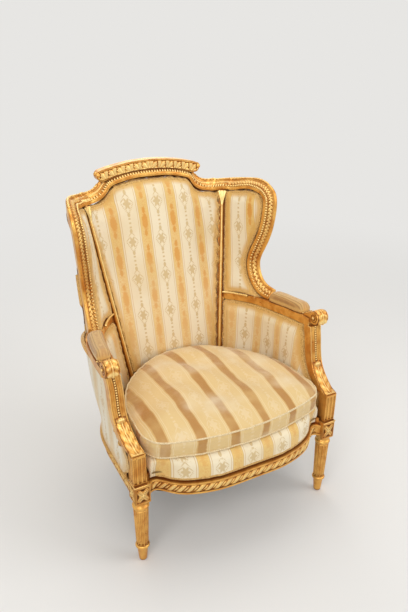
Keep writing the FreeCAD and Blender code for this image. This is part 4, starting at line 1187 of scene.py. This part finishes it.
stile = {
    "low": 0.3650, "high": 0.9300, "bead": 0.0018, "armBead": 0.0036,
    "half": ((0.36, 0.880, 0.905, 0.925, 0.93), (0.0030, 0.0032, 0.0080, 0.0150, 0.0160)),  # at heights
    "armLine": ((0.2085, 0.4890), (0.2270, 0.4700), (0.2430, 0.4470), (0.2570, 0.4230), (0.2650, 0.4060)),
}


def dressStiles():
    facing, sideways = np.array((-0.552, -0.834, 0.0)), np.array((0.834, -0.552, 0.0))
    z = np.linspace(stile["low"], stile["high"], 260)
    u = np.linspace(-1, 1, 13)
    half = np.interp(z, *stile["half"])
    nose = np.stack([stilePoint(h) for h in z])
    points = nose[:, None, :] + sideways * (u[None, :] * half[:, None])[:, :, None]
    flare = np.clip((z - 0.882) / 0.02, 0, 1)[:, None]
    bead = np.maximum(1 - u ** 2, 0)[None, :] ** 0.5 * stile["bead"]
    hollow = (0.0022 - 0.0016 * np.exp(-(np.abs(u) / 0.55) ** 4))[None, :] + 0.0009 * np.cos(u * 14)[None, :]
    rise = bead * (1 - flare) + (hollow + 0.0008) * flare
    rounding = np.abs(u[None, :]) ** 2 * (0.0012 * (1 - flare))
    points = points + facing * rise[:, :, None] - facing * rounding[:, :, None]
    points[:, [0, -1]] -= facing * 0.003
    bothNets("stileBead", points, giltWhiteHighlight)
    path = smoothLine([(x, y + legLine, 0.6005 - (y - 0.118) * 0.0612) for x, y in stile["armLine"]], 40)
    bothTubes("armBead", path, stile["armBead"], giltWhiteHighlight, 9)


for work in (carveBand, carveCrest, carveSupports, carveScrolls, carveRails, carveDies, dressStiles):
    work()
    print("carved:", work.__name__)


# Loose cushion: a boxed shape with a piped seam above and below

cushion = {"voxel": 0.006, "cap": 0.010, "ease": 0.09, "piping": 0.0027, "dents": 0.0052, "pucker": 0.0012,
           "upperSeam": 0.410, "lowerSeam": 0.3593}


def seamLine(z):  # the cushion's outline at a height, from the border's own mesh
    mesh = nodes["cushion_border"].data
    skin = max(skins("cushion_border"), key=lambda s: sum(math.hypot(*f.center[:2]) * f.area for f in s["faces"]))
    used = {i for f in skin["faces"] for i in f.vertices}
    points = np.array([mesh.vertices[i].co[:] for i in used])
    edge = points[np.abs(points[:, 2] - z) < 0.0015]
    angle = np.arctan2(edge[:, 0], -(edge[:, 1] + 0.10))
    edge = edge[np.argsort(angle)]
    angle = np.sort(angle)
    even = np.linspace(-math.pi, math.pi, 721)[:-1]
    return np.stack([np.interp(even, angle, edge[:, k], period=2 * math.pi) for k in range(3)], axis=1)


def makeCushion():
    piece = softCopy("seatCushion", ["cushion_filling"], cushion["voxel"])
    upper = seamLine(cushion["upperSeam"])
    lower = seamLine(cushion["lowerSeam"])
    inflate(piece, np.concatenate((upper, lower)), cushion)
    points = meshPoints(piece.data)
    normals = meshPoints(piece.data, "normal")
    x, y = points[:, 0], points[:, 1]
    dent = np.sin(x * 21 + 1.3 * np.sin(y * 17 + 0.6)) * np.sin(y * 19 + 0.8 * np.sin(x * 13))
    dent = dent + 0.6 * np.sin(x * 47 + y * 31)
    near, index = nearestDistance(points, upper)
    pucker = np.sin(index * 0.41 + 1.1 * np.sin(index * 0.13)) * bell(near, 0, 0.018) * cushion["pucker"]
    lift = cushion["dents"] * dent * np.clip(near / 0.12, 0, 1) + pucker
    box = np.abs(normals[:, 2]) < 0.6
    lift = np.where(box, pucker * 0.8, lift)
    setPoints(piece.data, points + normals * lift[:, None])
    run = runOf(upper)
    run = run - run[len(run) // 2]

    def place(points, normals):
        _, index = nearestDistance(points, upper)
        side = np.abs(normals[:, 2]) < 0.6
        return np.where(side, run[index], points[:, 0]), np.where(side, points[:, 2], points[:, 1])

    finishCloth(piece, place, upper, cushionSilk, loose)
    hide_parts("cushion_filling", "cushion_top_panel", "cushion_border", "cushion_bottom_panel")
    tree = treeOf(piece.data)
    for name, line in (("upperPiping", upper), ("lowerPiping", lower)):
        path = []
        for index, point in enumerate(line):
            spot, normal, _, _ = tree.find_nearest(point)
            path.append(np.array(spot + normal * 0.0012) + (0, 0, 0.0005 * math.sin(index * 0.21)))
        tube(name, path, cushion["piping"], pipingCloth, loose, sides=10, closed=True)


makeCushion()
print("cushion made")
